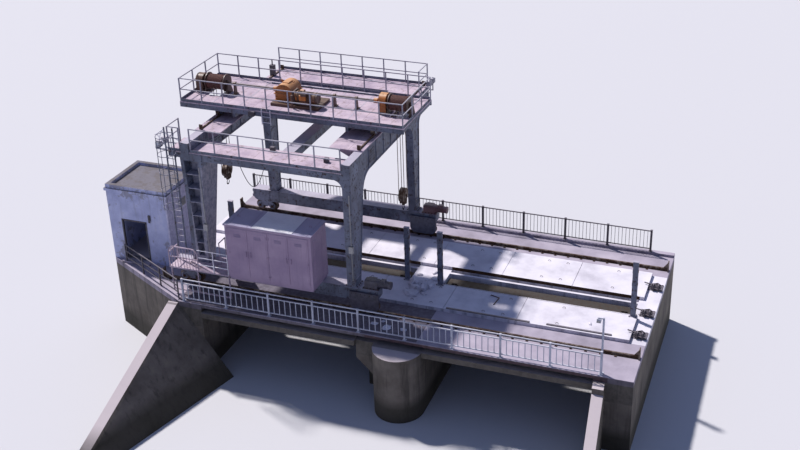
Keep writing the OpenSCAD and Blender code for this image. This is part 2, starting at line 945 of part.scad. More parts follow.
// Two-wheel bogies: cheek plates, a cross box and the pin bracket under the sill beam
module travel_bogies() {
    z1 = sill_z - sill_d;
    cheek_z = axle_z + 60;
    color("darkslategray")
        for (x = bogie_x, y = [front_y, rear_y])
            union() {
                for (s = [-1, 1])
                    plate_xz(y + s*cheek_y - cheek_t/2, cheek_t)
                        difference() {
                            union() {
                                polygon([
                                    [x - bogie_pitch/2 - 150, axle_z], [x + bogie_pitch/2 + 150, axle_z],
                                    [x + bogie_pitch/2 + 150, axle_z + 90], [x + 230, z1],
                                    [x - 230, z1], [x - bogie_pitch/2 - 150, axle_z + 90]
                                ]);
                                for (d = [-1, 1])
                                    translate([x + d*bogie_pitch/2, axle_z])
                                        circle(150);
                            }
                            for (d = [-1, 1])
                                translate([x + d*bogie_pitch/2, axle_z])
                                    circle(axle_r + seat);
                        }
                block([x - 45, y - cheek_y, axle_z - 60], [x + 45, y + cheek_y, z1]);
            }
}

// Double-flanged wheels on through axles
module travel_wheels() {
    tread = rail_head_w/2 + 10;
    rim = 22;
    color("dimgray")
        for (x = bogie_x, y = [front_y, rear_y], s = [-1, 1])
            translate([x + s*bogie_pitch/2, y, axle_z])
                rotate([90, 0, 0])
                    rotate_extrude($fn = 40)
                        polygon([
                            [0, -cheek_y - 40], [axle_r, -cheek_y - 40], [axle_r, -tread - rim - 20],
                                [90, -tread - rim - 20],
                            [90, -tread - rim + 12], [wheel_r - 60, -tread - rim + 12], [wheel_r - 60,
                                -tread - rim],
                            [wheel_r + 20, -tread - rim], [wheel_r + 20, -tread], [wheel_r, -tread],
                            [wheel_r, tread], [wheel_r + 20, tread], [wheel_r + 20, tread + rim],
                            [wheel_r - 60, tread + rim], [wheel_r - 60, tread + rim - 12], [90,
                                tread + rim - 12],
                            [90, tread + rim + 20], [axle_r, tread + rim + 20], [axle_r, cheek_y + 40],
                                [0, cheek_y + 40]
                        ]);
}

// Travel gear at the right end of each sill beam: gearbox, motor and the rounded wheel guard
module travel_drives() {
    x1 = sill_x + sill_l;
    guard_t = 90;
    color("rosybrown")
        for (y = [front_y, rear_y])
            union() {
                plate_yz(x1 - 620, 560)
                    tub([y - 200, sill_z], [y + 200, sill_z + 380], 130, -1);
                block([x1 - 700, y - 240, sill_z], [x1 + 20, y + 240, sill_z + 25]);
                bar_x([x1 - 60, y, sill_z + 200], 560, 150, 24);
                bar_x([x1 - 60, y, sill_z + 200], 60, 175, 24);
                bar_x([x1 + 440, y, sill_z + 200], 60, 165, 24);
                block([x1 + 60, y - 90, sill_z + 330], [x1 + 260, y + 90, sill_z + 420]);
            }
    color("slategray")
        for (y = [front_y, rear_y])
            plate_xz(y - sill_w/2 - guard_t - seat, guard_t)
                tub([x1 - 1240, axle_z - 130], [x1 + 30, sill_z - 160], 300);
}

// Square-bar guard rail between two points along X or Y
module guard_x(x0, x1, y, z0, n) {
    w = 45;
    for (i = [0 : n])
        block([x0 + i*(x1 - x0)/n - w/2, y - w/2, z0], [x0 + i*(x1 - x0)/n + w/2, y + w/2, z0 + guard_h]);
    for (z = [guard_h/2, guard_h - 40])
        block([x0 - w/2, y - 15, z0 + z], [x1 + w/2, y + 15, z0 + z + 40]);
}

module guard_y(x, y0, y1, z0, n) {
    w = 45;
    for (i = [0 : n])
        block([x - w/2, y0 + i*(y1 - y0)/n - w/2, z0], [x + w/2, y0 + i*(y1 - y0)/n + w/2, z0 + guard_h]);
    for (z = [guard_h/2, guard_h - 40])
        block([x - 15, y0 - w/2, z0 + z], [x + 15, y1 + w/2, z0 + z + 40]);
}

module gantry_railings() {
    zr = top_z + platform_t;
    x0 = platform_x + 40;
    xf = left_frame_x - frame_w/2 - 60;
    x1 = frame_r_face - 40;
    x2 = right_frame_x + frame_w/2 - 40;
    y0 = gantry_front + 20;
    color("lightslategray")
        union() {
            guard_x(x0, xf, y0, platform_z, 1);
            guard_x(left_frame_x + frame_w/2 + 60, x1, y0, platform_z, 6);
            guard_y(x0, y0, y0 + 900, platform_z, 1);
            guard_x(left_frame_x - frame_w/2, x2, gantry_rear - 40, zr, 7);
            guard_y(x2, gantry_rear - walk_w + 100, gantry_rear - 40, zr, 1);
        }
}

// Steel cabin for the switchgear, with an oversailing roof, doors and a base frame
module switch_cabin() {
    x1 = cabin_x + cabin_l;
    y1 = cabin_y + cabin_d;
    doors = 4;
    pitch = (cabin_l - 200)/doors;
    color("plum")
        union() {
            block([cabin_x + 40, cabin_y + 40, sill_z], [x1 - 40, y1 - 40, sill_z + 120]);
            block([cabin_x, cabin_y, sill_z + 120], [x1, y1, sill_z + cabin_h - 60]);
            block([cabin_x - 40, cabin_y - 60, sill_z + cabin_h - 60], [x1 + 40, y1 + 40, sill_z + cabin_h]);
            for (i = [0 : doors - 1])
                block(
                    [cabin_x + 100 + i*pitch + 20, cabin_y - 18, sill_z + 220],
                    [cabin_x + 100 + (i + 1)*pitch - 20, cabin_y + eps, sill_z + cabin_h - 160]
                );
            for (y = [cabin_y + 250, cabin_y + 1000])
                block([x1 - eps, y, sill_z + 350], [x1 + 15, y + 260, sill_z + cabin_h - 350]);
        }
}

// Landing beside the cabin with its cage rail, and the steps down behind the sill beam
module cabin_landing() {
    x0 = left_frame_x - 900;
    x1 = cabin_x - 60;
    x2 = left_frame_x + 500;
    y0 = cabin_y + 100;
    y1 = front_y + sill_w/2;
    t = 60;
    step_x = x1 - 850;
    step_n = 4;
    step_h = (sill_z - deck_z - 60)/(step_n + 1);
    r = 300;
    bars = 9;
    color("lightgray")
        union() {
            block([x0, y0, sill_z], [x1, leg_y - 30, sill_z + t]);
            block([left_frame_x + 620, leg_y - 30 - eps, sill_z], [x1, y1, sill_z + t]);
            plate_xz(y0, 40)
                difference() {
                    tub([x0, sill_z], [x2, sill_z + guard_h], r, -1);
                    tub([x0 + 40, sill_z - eps], [x2 - 40, sill_z + guard_h - 40], r - 40, -1);
                }
            block([x0, y0, sill_z + 520], [x2, y0 + 40, sill_z + 560]);
            for (i = [1 : bars])
                block(
                    [x0 + i*(x2 - x0)/(bars + 1) - 10, y0 + 10, sill_z],
                    [x0 + i*(x2 - x0)/(bars + 1) + 10, y0 + 30, sill_z + guard_h - 20]
                );
            for (y = [y0, leg_y - 70])
                block([x0, y, sill_z - eps], [x0 + 40, y + 40, sill_z + guard_h - r]);
            block([x0, y0, sill_z + guard_h - r - 40], [x0 + 40, leg_y - 30, sill_z + guard_h - r]);
            for (x = [x0 + 60, x2 - 100, x1 - 60])
                block([x, y0 + 10, deck_z + 190], [x + 50, y0 + 60, sill_z]);
            block([x0 + 60, y0 + 10, deck_z + 190], [x1 - 10, y0 + 60, deck_z + 240]);
            for (i = [1 : step_n])
                block(
                    [step_x, y1 + (i - 1)*110, sill_z + t - i*step_h - 30],
                    [step_x + 800, y1 + (i - 1)*110 + 200, sill_z + t - i*step_h]
                );
            for (s = [0, 1])
                plate_yz(step_x - 30 + s*830, 30)
                    polygon([
                        [y1, sill_z + t], [y1, sill_z - 150], [y1 + step_n*110 - 10, deck_z + 190],
                        [y1 + step_n*110 + 130, deck_z + 190], [y1 + 130, sill_z + t]
                    ]);
            for (x = [step_x - 30, step_x + 800]) {
                block([x, y1 + 20, sill_z + t - eps], [x + 30, y1 + 60, sill_z + guard_h]);
                block([x, y1 - 500, sill_z + t - eps], [x + 30, y1 - 460, sill_z + guard_h]);
                block([x, y1 - 500, sill_z + guard_h - 40], [x + 30, y1 + 60, sill_z + guard_h]);
            }
        }
}

module trolley_rails() {
    y0 = gantry_front + platform_w + 60;
    y1 = gantry_rear - 150;
    stop_h = 220;
    z0 = top_z + platform_t;
    color("black")
        for (x = [left_frame_x, right_frame_x])
            union() {
                block([x - 30, y0, z0], [x + 30, y1, z0 + crab_rail_h]);
                for (y = [y0, y1 - 30])
                    block([x - 80, y, z0], [x + 80, y + 30, z0 + stop_h]);
            }
}

// Floodlights on arms at the front left and the rear right corner
module gantry_lamps() {
    arm_l = 650;
    z0 = platform_z - platform_t;
    xr = right_frame_x + frame_w/2;
    zr = top_z + platform_t;
    color("darkgray") {
        union() {
            for (y = [gantry_front + 100, gantry_front + 800])
                block([platform_x - arm_l, y, z0 - 60], [platform_x, y + 50, z0 - 10]);
            block(
                [platform_x - arm_l, gantry_front + 100, z0 - 60],
                [platform_x - arm_l + 50, gantry_front + 850, z0 - 10]
            );
            plate_xz(gantry_front + 100, 50)
                polygon([
                    [platform_x - arm_l, z0 - 20], [platform_x, z0 + 390], [platform_x, z0 + 450],
                        [platform_x - arm_l - 20, z0 + 20]
                ]);
            block([platform_x - 50, gantry_front + 100, z0 - 60], [platform_x, gantry_front + 150,
                z0 + 450]);
            for (y = [gantry_front + 170, gantry_front + 530])
                plate_yz(platform_x - arm_l - 60, 220)
                    polygon([[y, z0 - 20], [y + 240, z0 - 20], [y + 240, z0 + 230], [y + 100, z0 + 230]]);
        }
        union() {
            block([xr, gantry_rear - 700, zr - 180], [xr + 40, gantry_rear - 200, zr - 60]);
            for (y = [gantry_rear - 650, gantry_rear - 280]) {
                block([xr, y, zr - 150], [xr + 320, y + 40, zr - 110]);
                block([xr + 280, y, zr - 150], [xr + 320, y + 40, zr + 240]);
                plate_xz(y - 100, 240)
                    polygon([
                        [xr + 130, zr + 230], [xr + 380, zr + 230], [xr + 380, zr + 440],
                        [xr + 230, zr + 440]
                    ]);
            }
        }
    }
}

// Trolley

joist_z = crab_top - crab_t;
carriage_z = joist_z - 170;

// Edge channels and joists under the deck, over two wheeled carriages
module trolley_frame() {
    edge_h = 200;
    n = 8;
    w = 70;
    yc = [crab_y + 450, crab_y + crab_d - 450];
    color("darkslategray")
        union() {
            for (y = [crab_y, crab_y + crab_d - w])
                block([crab_x, y, joist_z - edge_h], [crab_x + crab_l, y + w, joist_z]);
            for (i = [0 : n])
                block(
                    [crab_x + i*(crab_l - w)/n, crab_y + w - eps, joist_z - 130],
                    [crab_x + i*(crab_l - w)/n + w, crab_y + crab_d - w + eps, joist_z]
                );
            for (x = [left_frame_x, right_frame_x]) {
                block(
                    [x - 130, crab_y + w - eps, carriage_z],
                    [x + 130, crab_y + crab_d - w + eps, joist_z - 20]
                );
                for (s = [-1, 1])
                    plate_yz(x + s*110 - 12, 24)
                        difference() {
                            union() {
                                translate([yc[0], crab_axle_z])
                                    square([yc[1] - yc[0], carriage_z + eps - crab_axle_z]);
                                for (y = yc)
                                    translate([y, crab_axle_z])
                                        circle(120);
                                for (y = yc)
                                    translate([y - 120, crab_axle_z])
                                        square([240, carriage_z + eps - crab_axle_z]);
                            }
                            for (y = yc)
                                translate([y, crab_axle_z])
                                    circle(35 + seat);
                        }
            }
            for (x = [left_frame_x + 850, right_frame_x - 1100])
                block(
                    [x, crab_y + w - eps, joist_z - 420],
                    [x + 120, crab_y + crab_d - w + eps, joist_z - 20]
                );
        }
}

// Deck plate with the slots that the hoist ropes pass through
module trolley_deck() {
    color("thistle")
        plate_xy(crab_top - crab_t, crab_t)
            difference() {
                translate([crab_x, crab_y])
                    square([crab_l, crab_d]);
                for (x = drum_xs)
                    translate([x + 100, drum_y - 420])
                        square([drum_l - 200, 840]);
            }
}

module trolley_wheels() {
    yc = [crab_y + 450, crab_y + crab_d - 450];
    color("dimgray")
        for (x = [left_frame_x, right_frame_x], y = yc)
            translate([x, y, crab_axle_z])
                rotate([0, 90, 0])
                    rotate_extrude($fn = 32)
                        polygon([
                            [0, -135], [35, -135], [35, -75], [crab_wheel_r + 16, -75],
                                [crab_wheel_r + 16, -58],
                            [crab_wheel_r, -40], [crab_wheel_r, 40], [crab_wheel_r + 16, 58],
                            [crab_wheel_r + 16, 75], [35, 75], [35, 135], [0, 135]
                        ]);
}

module trolley_railing() {
    y0 = crab_y + 40;
    y1 = crab_y + crab_d - 40;
    x0 = crab_x + 40;
    x1 = crab_x + crab_l - 40;
    color("lightslategray")
        union() {
            guard_x(x0, x1, y0, crab_top, 10);
            guard_x(x0, x1, y1, crab_top, 10);
            guard_y(x0, y0, y1, crab_top, 3);
            guard_y(x1, y0, y1, crab_top, 3);
        }
}

shaft_r = 45;
bearing_t = 90;

// Flanged rope drums between pedestal bearings
module hoist_drums() {
    flange_r = drum_r + 90;
    flange_t = 35;
    color("saddlebrown")
        for (x = drum_xs)
            union() {
                translate([x, drum_y, drum_z])
                    rotate([0, 90, 0])
                        rotate_extrude($fn = 40)
                            polygon([
                                [0, -bearing_t], [shaft_r, -bearing_t], [shaft_r, 0], [flange_r, 0],
                                [flange_r, flange_t], [drum_r, flange_t], [drum_r, drum_l - flange_t],
                                [flange_r, drum_l - flange_t], [flange_r, drum_l], [shaft_r, drum_l],
                                [shaft_r, drum_l + bearing_t], [0, drum_l + bearing_t]
                            ]);
                for (dx = [-bearing_t, drum_l + 20])
                    plate_yz(x + dx, bearing_t - 20)
                        union() {
                            polygon([
                                [drum_y - 280, crab_top], [drum_y + 280, crab_top], [drum_y + 280,
                                    crab_top + 60],
                                [drum_y + 110, drum_z], [drum_y - 110, drum_z], [drum_y - 280, crab_top + 60]
                            ]);
                            translate([drum_y, drum_z])
                                circle(110);
                        }
            }
}

// Main gearbox, motor and brake on their bed, with the line shafts and the end gearboxes
module hoist_drive() {
    bed_h = 120;
    box_l = 800;
    box_r = 380;
    zc = drum_z;
    x1 = drive_x + box_l;
    motor_y = drum_y - 420;
    motor_z = crab_top + bed_h + 300;
    end_l = 320;
    lx = drum_xs[0] - bearing_t - end_l - 60;
    rx = drum_xs[1] - bearing_t - end_l;
    color("peru")
        union() {
            block([drive_x - 100, drum_y - 750, crab_top], [x1 + 1300, drum_y + 480, crab_top + bed_h]);
            plate_xz(drum_y - 450, 900)
                tub([drive_x, crab_top + bed_h - eps], [x1, crab_top + bed_h + 760], box_r, -1);
            block(
                [drive_x - 30, drum_y - 480, crab_top + bed_h - eps],
                [x1 + 30, drum_y + 480, crab_top + bed_h + 60]
            );
            bar_x([x1 - eps, motor_y, motor_z], 260, 90, 20);
            bar_x([x1 + 120, motor_y, motor_z], 90, 190, 24);
            bar_x([x1 + 260, motor_y, motor_z], 850, 230, 24);
            bar_x([x1 + 240, motor_y, motor_z], 60, 260, 24);
            bar_x([x1 + 1060, motor_y, motor_z], 60, 250, 24);
            block([x1 + 400, motor_y - 200, crab_top + bed_h - eps], [x1 + 950, motor_y + 200, motor_z]);
            block([x1 + 450, motor_y - 330, motor_z - 40], [x1 + 750, motor_y - 200, motor_z + 180]);
            plate_yz(lx, end_l)
                tub([drum_y - 300, crab_top], [drum_y + 300, crab_top + 800], 260, -1);
            plate_yz(rx, end_l)
                tub([drum_y - 320, crab_top], [drum_y + 320, crab_top + 860], 280, -1);
            bar_x([drum_xs[0] - bearing_t - 60 - eps, drum_y, zc], 60, shaft_r, 16);
            bar_x([drum_xs[0] + drum_l + bearing_t, drum_y, zc],
                drive_x - drum_xs[0] - drum_l - bearing_t + eps, shaft_r, 16);
            bar_x([x1 - eps, drum_y, zc], rx - x1 + 2*eps, shaft_r, 16);
            for (x = [drive_x - 260, x1 + 200, rx - 300])
                bar_x([x, drum_y, zc], 160, 110, 20);
        }
}

hook_z = crab_top - hook_drop;

// Rope falls and hook blocks under each drum
module hoist_hooks() {
    sheave_r = drum_r + seat;
    color("black")
        for (x = drum_xs) {
            xc = x + drum_l/2;
            union() {
                for (s = [-1, 1], dx = [-70, 70])
                    translate([xc + dx, drum_y + s*(sheave_r + rope_r), hook_z])
                        cylinder(h = drum_z - hook_z, r = rope_r, $fn = 16);
                translate([xc, drum_y, hook_z])
                    rotate([0, 90, 0])
                        translate([0, 0, -110])
                            cylinder(h = 220, r = sheave_r + rope_r, $fn = 32);
                for (dx = [-1, 1])
                    plate_yz(xc + dx*125 - 15, 30)
                        union() {
                            translate([drum_y, hook_z])
                                circle(180);
                            polygon([
                                [drum_y - 180, hook_z], [drum_y + 180, hook_z],
                                [drum_y + 90, hook_z - 330], [drum_y - 90, hook_z - 330]
                            ]);
                        }
                block([xc - 140, drum_y - 80, hook_z - 400], [xc + 140, drum_y + 80, hook_z - 320]);
                block([xc - 60, drum_y - 60, hook_z - 480], [xc + 60, drum_y + 60, hook_z - 399]);
            }
        }
}

// Gates

gate_end = 100;
gate_l = bay_w + 2*slot_d - 2*gate_end;
gate_y = slot_y + 170;

// Welded leaf: skin plate upstream, girders, diaphragms and end posts downstream
module gate_leaf(x0) {
    x = x0 - slot_d + gate_end;
    y0 = gate_y;
    y1 = gate_y + gate_d;
    z0 = gate_open;
    z1 = gate_open + gate_h;
    girders = 4;
    t = 30;
    flange = 180;
    bays = 8;
    step = (gate_l - t)/bays;
    rise = (gate_h - t)/(girders - 1);
    color("saddlebrown")
        union() {
            block([x, y1 - t, z0], [x + gate_l, y1, z1]);
            for (i = [0 : girders - 1]) {
                z = z0 + i*rise;
                block([x, y0, z], [x + gate_l, y1 - t + eps, z + t]);
                f0 = i == 0 ? z : (i == girders - 1 ? z + t - flange : z + t/2 - flange/2);
                block([x, y0 - t, f0], [x + gate_l, y0 + eps, f0 + flange]);
            }
            for (i = [0 : bays])
                block([x + i*step, y0 + 200, z0], [x + i*step + t, y1 - t + eps, z1]);
            for (s = [0, 1])
                block(
                    [x + s*(gate_l - 250), y0 - t, z0],
                    [x + 250 + s*(gate_l - 250), y0 + 200 + eps, z1]
                );
            for (i = [0 : bays/2 - 1])
                block([x + (2*i + 1)*step - 60, y0 + 100, z0], [x + (2*i + 1)*step + 90,
                    y0 + 200 + eps, z1]);
            for (s = [0, 1])
                plate_xz(y0 + 280, 50)
                    difference() {
                        tub([x + 200 + s*(gate_l - 700), z1 - eps], [x + 500 + s*(gate_l - 700),
                            z1 + 90], 80, -1);
                        translate([x + 350 + s*(gate_l - 700), z1 + 30])
                            circle(28);
                    }
        }
}

// Fixed-wheel rollers on stub pins at the gate's ends
module gate_rollers(x0) {
    x = x0 - slot_d + gate_end;
    w = 75;
    color("dimgray")
        for (z = [gate_open + 520, gate_open + gate_h - 520], s = [0, 1])
            translate([x + s*gate_l, slot_y + run_gap + roller_r, z])
                rotate([0, s > 0 ? 90 : -90, 0])
                    rotate_extrude($fn = 36)
                        polygon([
                            [0, 0], [60, 0], [60, 15], [roller_r - 40, 15], [roller_r - 40, 5],
                            [roller_r, 5], [roller_r, w], [roller_r - 40, w], [roller_r - 40, w - 12],
                                [0, w - 12]
                        ]);
}

module left_gate() { gate_leaf(-bay_x); }
module right_gate() { gate_leaf(pier_x); }
module left_gate_rollers() { gate_rollers(-bay_x); }
module right_gate_rollers() { gate_rollers(pier_x); }

left_abutment();
centre_pier();
right_abutment();
left_wing_wall();
right_wing_wall();
house_foundation();
footway();
deck_beams();
cover_slabs();
slot_beam();
rear_walkway();
crane_rails();
front_railing();
rear_railing();
bank_handrail();
gate_guides();
gate_latches();
lamp_post();
house_front_wall();
house_walls();
house_roof();
left_portal_frame();
right_portal_frame();
crossbeams();
gantry_platforms();
sill_beams();
travel_bogies();
travel_wheels();
travel_drives();
gantry_railings();
switch_cabin();
cabin_landing();
trolley_rails();
gantry_lamps();
trolley_frame();
trolley_deck();
trolley_wheels();
trolley_railing();
hoist_drums();
hoist_drive();
hoist_hooks();
left_gate();
left_gate_rollers();
right_gate();
right_gate_rollers();
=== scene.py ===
"""Dresses the sluice gate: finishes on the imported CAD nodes, small fittings, light and camera."""

import math

import bpy
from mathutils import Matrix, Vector


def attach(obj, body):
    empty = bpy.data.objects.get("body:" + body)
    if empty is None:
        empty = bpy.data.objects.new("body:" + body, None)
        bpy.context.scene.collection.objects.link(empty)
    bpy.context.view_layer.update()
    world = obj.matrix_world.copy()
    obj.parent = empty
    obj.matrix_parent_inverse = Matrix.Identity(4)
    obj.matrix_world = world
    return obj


bl_info = {
    "name": "Sluice gate dressing",
    "version": (1, 0, 0),
    "blender": (4, 5, 0),
    "location": "View3D > Sidebar > Sluice",
    "description": "Finishes and fittings for a two-bay sluice with a travelling gate crane",
    "category": "Object",
}

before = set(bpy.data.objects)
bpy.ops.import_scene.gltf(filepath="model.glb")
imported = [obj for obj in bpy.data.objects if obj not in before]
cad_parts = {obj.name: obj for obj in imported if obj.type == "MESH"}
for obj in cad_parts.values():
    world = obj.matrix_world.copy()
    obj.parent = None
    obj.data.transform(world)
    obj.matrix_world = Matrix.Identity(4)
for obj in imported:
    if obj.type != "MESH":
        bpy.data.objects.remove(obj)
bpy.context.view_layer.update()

# Named places in the CAD frame, in metres
UP, ALONG, FRONT = (0, 0, 1), (1, 0, 0), (0, -1, 0)
SIDES = (-1, 1)
DECK_Z = 3.4
COVER_Z = 3.55
RAIL_Y = (-3.55, 3.55)
AXLE_Z = 3.7705
WHEEL_X = (-9.68, -1.52)
FRAME_X = {"left": -9.2, "right": -2.05}
SILL_Z = 4.65
PLATFORM_Z = 9.8
WALK_Z = 10.24
CRAB_TOP = 10.9
SHAFT_Y, SHAFT_Z = 0.15, 11.38
MOTOR_Y, MOTOR_Z = -0.27, 11.32
DRUM_L = 0.9
DRUM_X = {"left": -10.17, "right": -1.68}
HOOK_Z = 7.15
CABIN_X, CABIN_Y, CABIN_TOP = (-7.2, -3.35), (-4.7, -3.25), 7.25
HOUSE_FRONT, HOUSE_BACK, HOUSE_SIDE = -2.69, -0.09, -11.2
GATE_X = {"left": (-9.05, -0.85), "right": (0.85, 9.05)}
GUIDE_X = (-9.15, -0.75, 0.75, 9.15)
EDGE = 0.006

# Camera fitted to the photograph, and the light on it
CAMERA_PLACE, CAMERA_TILT, CAMERA_TURN = (15.17, -41.10, 29.20), 65.0, 17.4
CAMERA_LENS, CAMERA_SHIFT = 51.6, (-0.10, -0.075)
SUN_FROM, SUN_STRENGTH, SUN_WIDTH = (-0.67, 0.30, 1.0), 4.6, 2.5


# Colour and nodes; a socket knows the tree it is in

def linear(hex_colour):
    """Linear RGBA of an sRGB hex colour."""
    parts = [int(hex_colour[i : i + 2], 16) / 255 for i in (1, 3, 5)]
    return (*(c / 12.92 if c <= 0.04045 else ((c + 0.055) / 1.055) ** 2.4 for c in parts), 1.0)


def plug(socket, value):
    """Link a socket to an input, or set the input to a number, vector or hex colour."""
    if isinstance(value, bpy.types.NodeSocket):
        socket.id_data.links.new(value, socket)
    else:
        socket.default_value = linear(value) if isinstance(value, str) else value


def add(tree, kind, inputs=None, **settings):
    """Add a node with its settings; an input is a value, a hex colour or the socket to link."""
    node = tree.nodes.new(kind)
    for key, value in settings.items():
        setattr(node, key, value)
    for key, value in (inputs or {}).items():
        plug(node.inputs[key], value)
    return node


def ramp(fac, *stops):
    """Colour ramp over fac; a stop is a place with a hex colour or a grey value."""
    node = add(fac.id_data, "ShaderNodeValToRGB", {"Fac": fac})
    points = node.color_ramp.elements
    while len(points) < len(stops):
        points.new(0.5)
    for point, (place, colour) in zip(points, stops):
        point.position = place
        point.color = linear(colour) if isinstance(colour, str) else (colour, colour, colour, 1.0)
    return node.outputs["Color"]


def mix(fac, a, b):
    """Mix two colours, each a socket or a hex colour."""
    return add(fac.id_data, "ShaderNodeMix", {"Factor": fac, 6: a, 7: b}, data_type="RGBA").outputs[2]


def maths(operation, a, b=0.0, c=0.0, clamp=False):
    """One Math node."""
    tree = next(v.id_data for v in (a, b, c) if isinstance(v, bpy.types.NodeSocket))
    return add(tree, "ShaderNodeMath", {0: a, 1: b, 2: c}, operation=operation, use_clamp=clamp).outputs[0]


def times(a, b):
    """Product of two levels."""
    return maths("MULTIPLY", a, b)


def rest_of(level):
    """What a level lacks to 1."""
    return maths("SUBTRACT", 1.0, level)


def along(place, axis):
    """Coordinate of a place on one axis."""
    return add(place.id_data, "ShaderNodeSeparateXYZ", {"Vector": place}).outputs[axis]


def noise(place, size_mm, detail=6.0, rough=0.6, upright=1.0):
    """Noise whose blotches are about size_mm across, or drawn out upwards where upright is small."""
    tree = place.id_data
    vector = add(tree, "ShaderNodeMapping", {"Vector": place, "Scale": (1.0, 1.0, upright)}).outputs[0]
    inputs = {"Vector": vector, "Scale": 1000.0 / size_mm, "Detail": detail, "Roughness": rough}
    return add(tree, "ShaderNodeTexNoise", inputs).outputs["Fac"]


def start_material(name, metallic=0.0, ior=1.45):
    """New material and its Object coordinates."""
    material = bpy.data.materials.new(name)
    material.use_nodes = True
    tree = material.node_tree
    inputs = tree.nodes["Principled BSDF"].inputs
    inputs["Metallic"].default_value = metallic
    if not metallic:
        inputs["IOR"].default_value = ior
    return material, add(tree, "ShaderNodeTexCoord").outputs["Object"]


def dress(material, colour, rough, level=None, strength=0.0, depth_mm=0.0):
    """Give a material its colour, roughness and bump of depth_mm from a grey level."""
    inputs = material.node_tree.nodes["Principled BSDF"].inputs
    plug(inputs["Base Color"], colour)
    plug(inputs["Roughness"], rough)
    if level:
        bump = {"Height": level, "Strength": strength, "Distance": depth_mm / 1000}
        plug(inputs["Normal"], add(material.node_tree, "ShaderNodeBump", bump).outputs["Normal"])
    return material


def upward(place):
    """1 on surfaces that face up, 0 on walls and undersides."""
    normal = add(place.id_data, "ShaderNodeNewGeometry").outputs["Normal"]
    return maths("MULTIPLY", maths("SUBTRACT", along(normal, "Z"), 0.55), 3.0, clamp=True)


def height(place, low, high):
    """0 at height low to 1 at height high."""
    inputs = {"Value": along(place, "Z"), "From Min": low, "From Max": high}
    return add(place.id_data, "ShaderNodeMapRange", inputs, clamp=True).outputs["Result"]


def tinted(material, *bands):
    """Lay further paints over a finish, each inside its own box of (axis, low, high) limits."""
    tree = material.node_tree
    socket = tree.nodes["Principled BSDF"].inputs["Base Color"]
    place = add(tree, "ShaderNodeTexCoord").outputs["Object"]
    cloud = noise(place, 160, 6, 0.65)
    for limits, paint, shade, level in bands:
        for axis, low, high in limits:
            value = along(place, axis)
            inside = times(maths("GREATER_THAN", value, low), maths("LESS_THAN", value, high))
            level = times(inside, level)
        plug(socket, mix(level, socket.links[0].from_socket, ramp(cloud, (0.35, shade), (0.62, paint))))


# Finishes, each named for the real material

def cast_concrete(name, colours, board_mm=0, wet_and_shade_z=0.0, bleach_and_sunlit_top=""):
    """Weathered cast concrete: cloudy greys, run marks down the faces, grit and board marks."""
    pale, mid, dark, streak = colours.split()
    material, place = start_material(name)
    cloud = noise(place, 1400, 8, 0.62)
    grit = noise(place, 60, 6, 0.7)
    colour = mix(times(grit, 0.35), ramp(cloud, (0.3, dark), (0.5, mid), (0.72, pale)), mid)
    runs = ramp(noise(place, 260, 5, 0.6, 0.09), (0.5, 0.0), (0.68, 1.0))
    # Paler on faces that look up: weathering, and painted sunlight on the tops
    top = upward(place)
    colour = mix(times(times(runs, rest_of(top)), 0.6), colour, streak)
    colour = mix(times(top, 0.8 if bleach_and_sunlit_top else 0.35), colour, bleach_and_sunlit_top or pale)
    # Darker low down: wet concrete, and painted shade under the deck
    if wet_and_shade_z:
        wet_and_shade = rest_of(height(place, wet_and_shade_z - 0.25, wet_and_shade_z + 0.25))
        colour = mix(times(wet_and_shade, maths("ADD", cloud, 0.3, clamp=True)), colour, "#24231f")
    level = maths("ADD", times(grit, 0.5), cloud)
    if board_mm:
        boards = maths("FRACT", times(along(place, "Z"), 1000 / board_mm))
        level = maths("SUBTRACT", level, times(maths("LESS_THAN", boards, 0.03), 0.6))
    return dress(material, colour, ramp(grit, (0.2, 0.78), (0.8, 0.96)), level, 0.5, 8)


def painted_steel(name, colours, chips=0.56, streaks=0.4, rough=0.55, dust_and_sunlight_amount=0.75):
    """Brushed-on oil paint on rolled steel: faded patches, rust chips and runs, dust and painted sunlight on
    what faces up.
    """
    paint, shade, chip, dust_and_sunlit_top = colours.split()
    material, place = start_material(name, 0.0, 1.5)
    fade = noise(place, 900, 6, 0.6)
    spots = noise(place, 130, 8, 0.72)
    rust = ramp(spots, (chips, 0.0), (chips + 0.07, 1.0))
    runs = ramp(noise(place, 110, 4, 0.6, 0.08), (0.56, 0.0), (0.7, 1.0))
    colour = mix(times(runs, streaks), ramp(fade, (0.32, shade), (0.66, paint)), chip)
    # Faces that look up take the top colour: dust, and painted sunlight where that colour is pale
    dust_and_sunlight_level = maths("MULTIPLY_ADD", fade, 0.6, dust_and_sunlight_amount - 0.3)
    colour = mix(maths("MULTIPLY", upward(place), dust_and_sunlight_level, clamp=True), mix(rust, colour, chip), dust_and_sunlit_top)
    level = maths("MULTIPLY_ADD", rust, -0.5, spots)
    return dress(material, colour, ramp(rust, (0.0, rough), (1.0, 0.9)), level, 0.35, 3)


def bare_steel(name, steel, rust, amount=0.5, rough=0.5):
    """Rolled steel gone brown, worn where something runs on it."""
    material, place = start_material(name, 0.6)
    cover = noise(place, 240, 7, 0.68)
    mask = ramp(cover, (amount - 0.1, 0.0), (amount + 0.1, 1.0))
    return dress(material, mix(mask, steel, rust), ramp(mask, (0.0, rough), (1.0, 0.85)), cover, 0.3, 3)


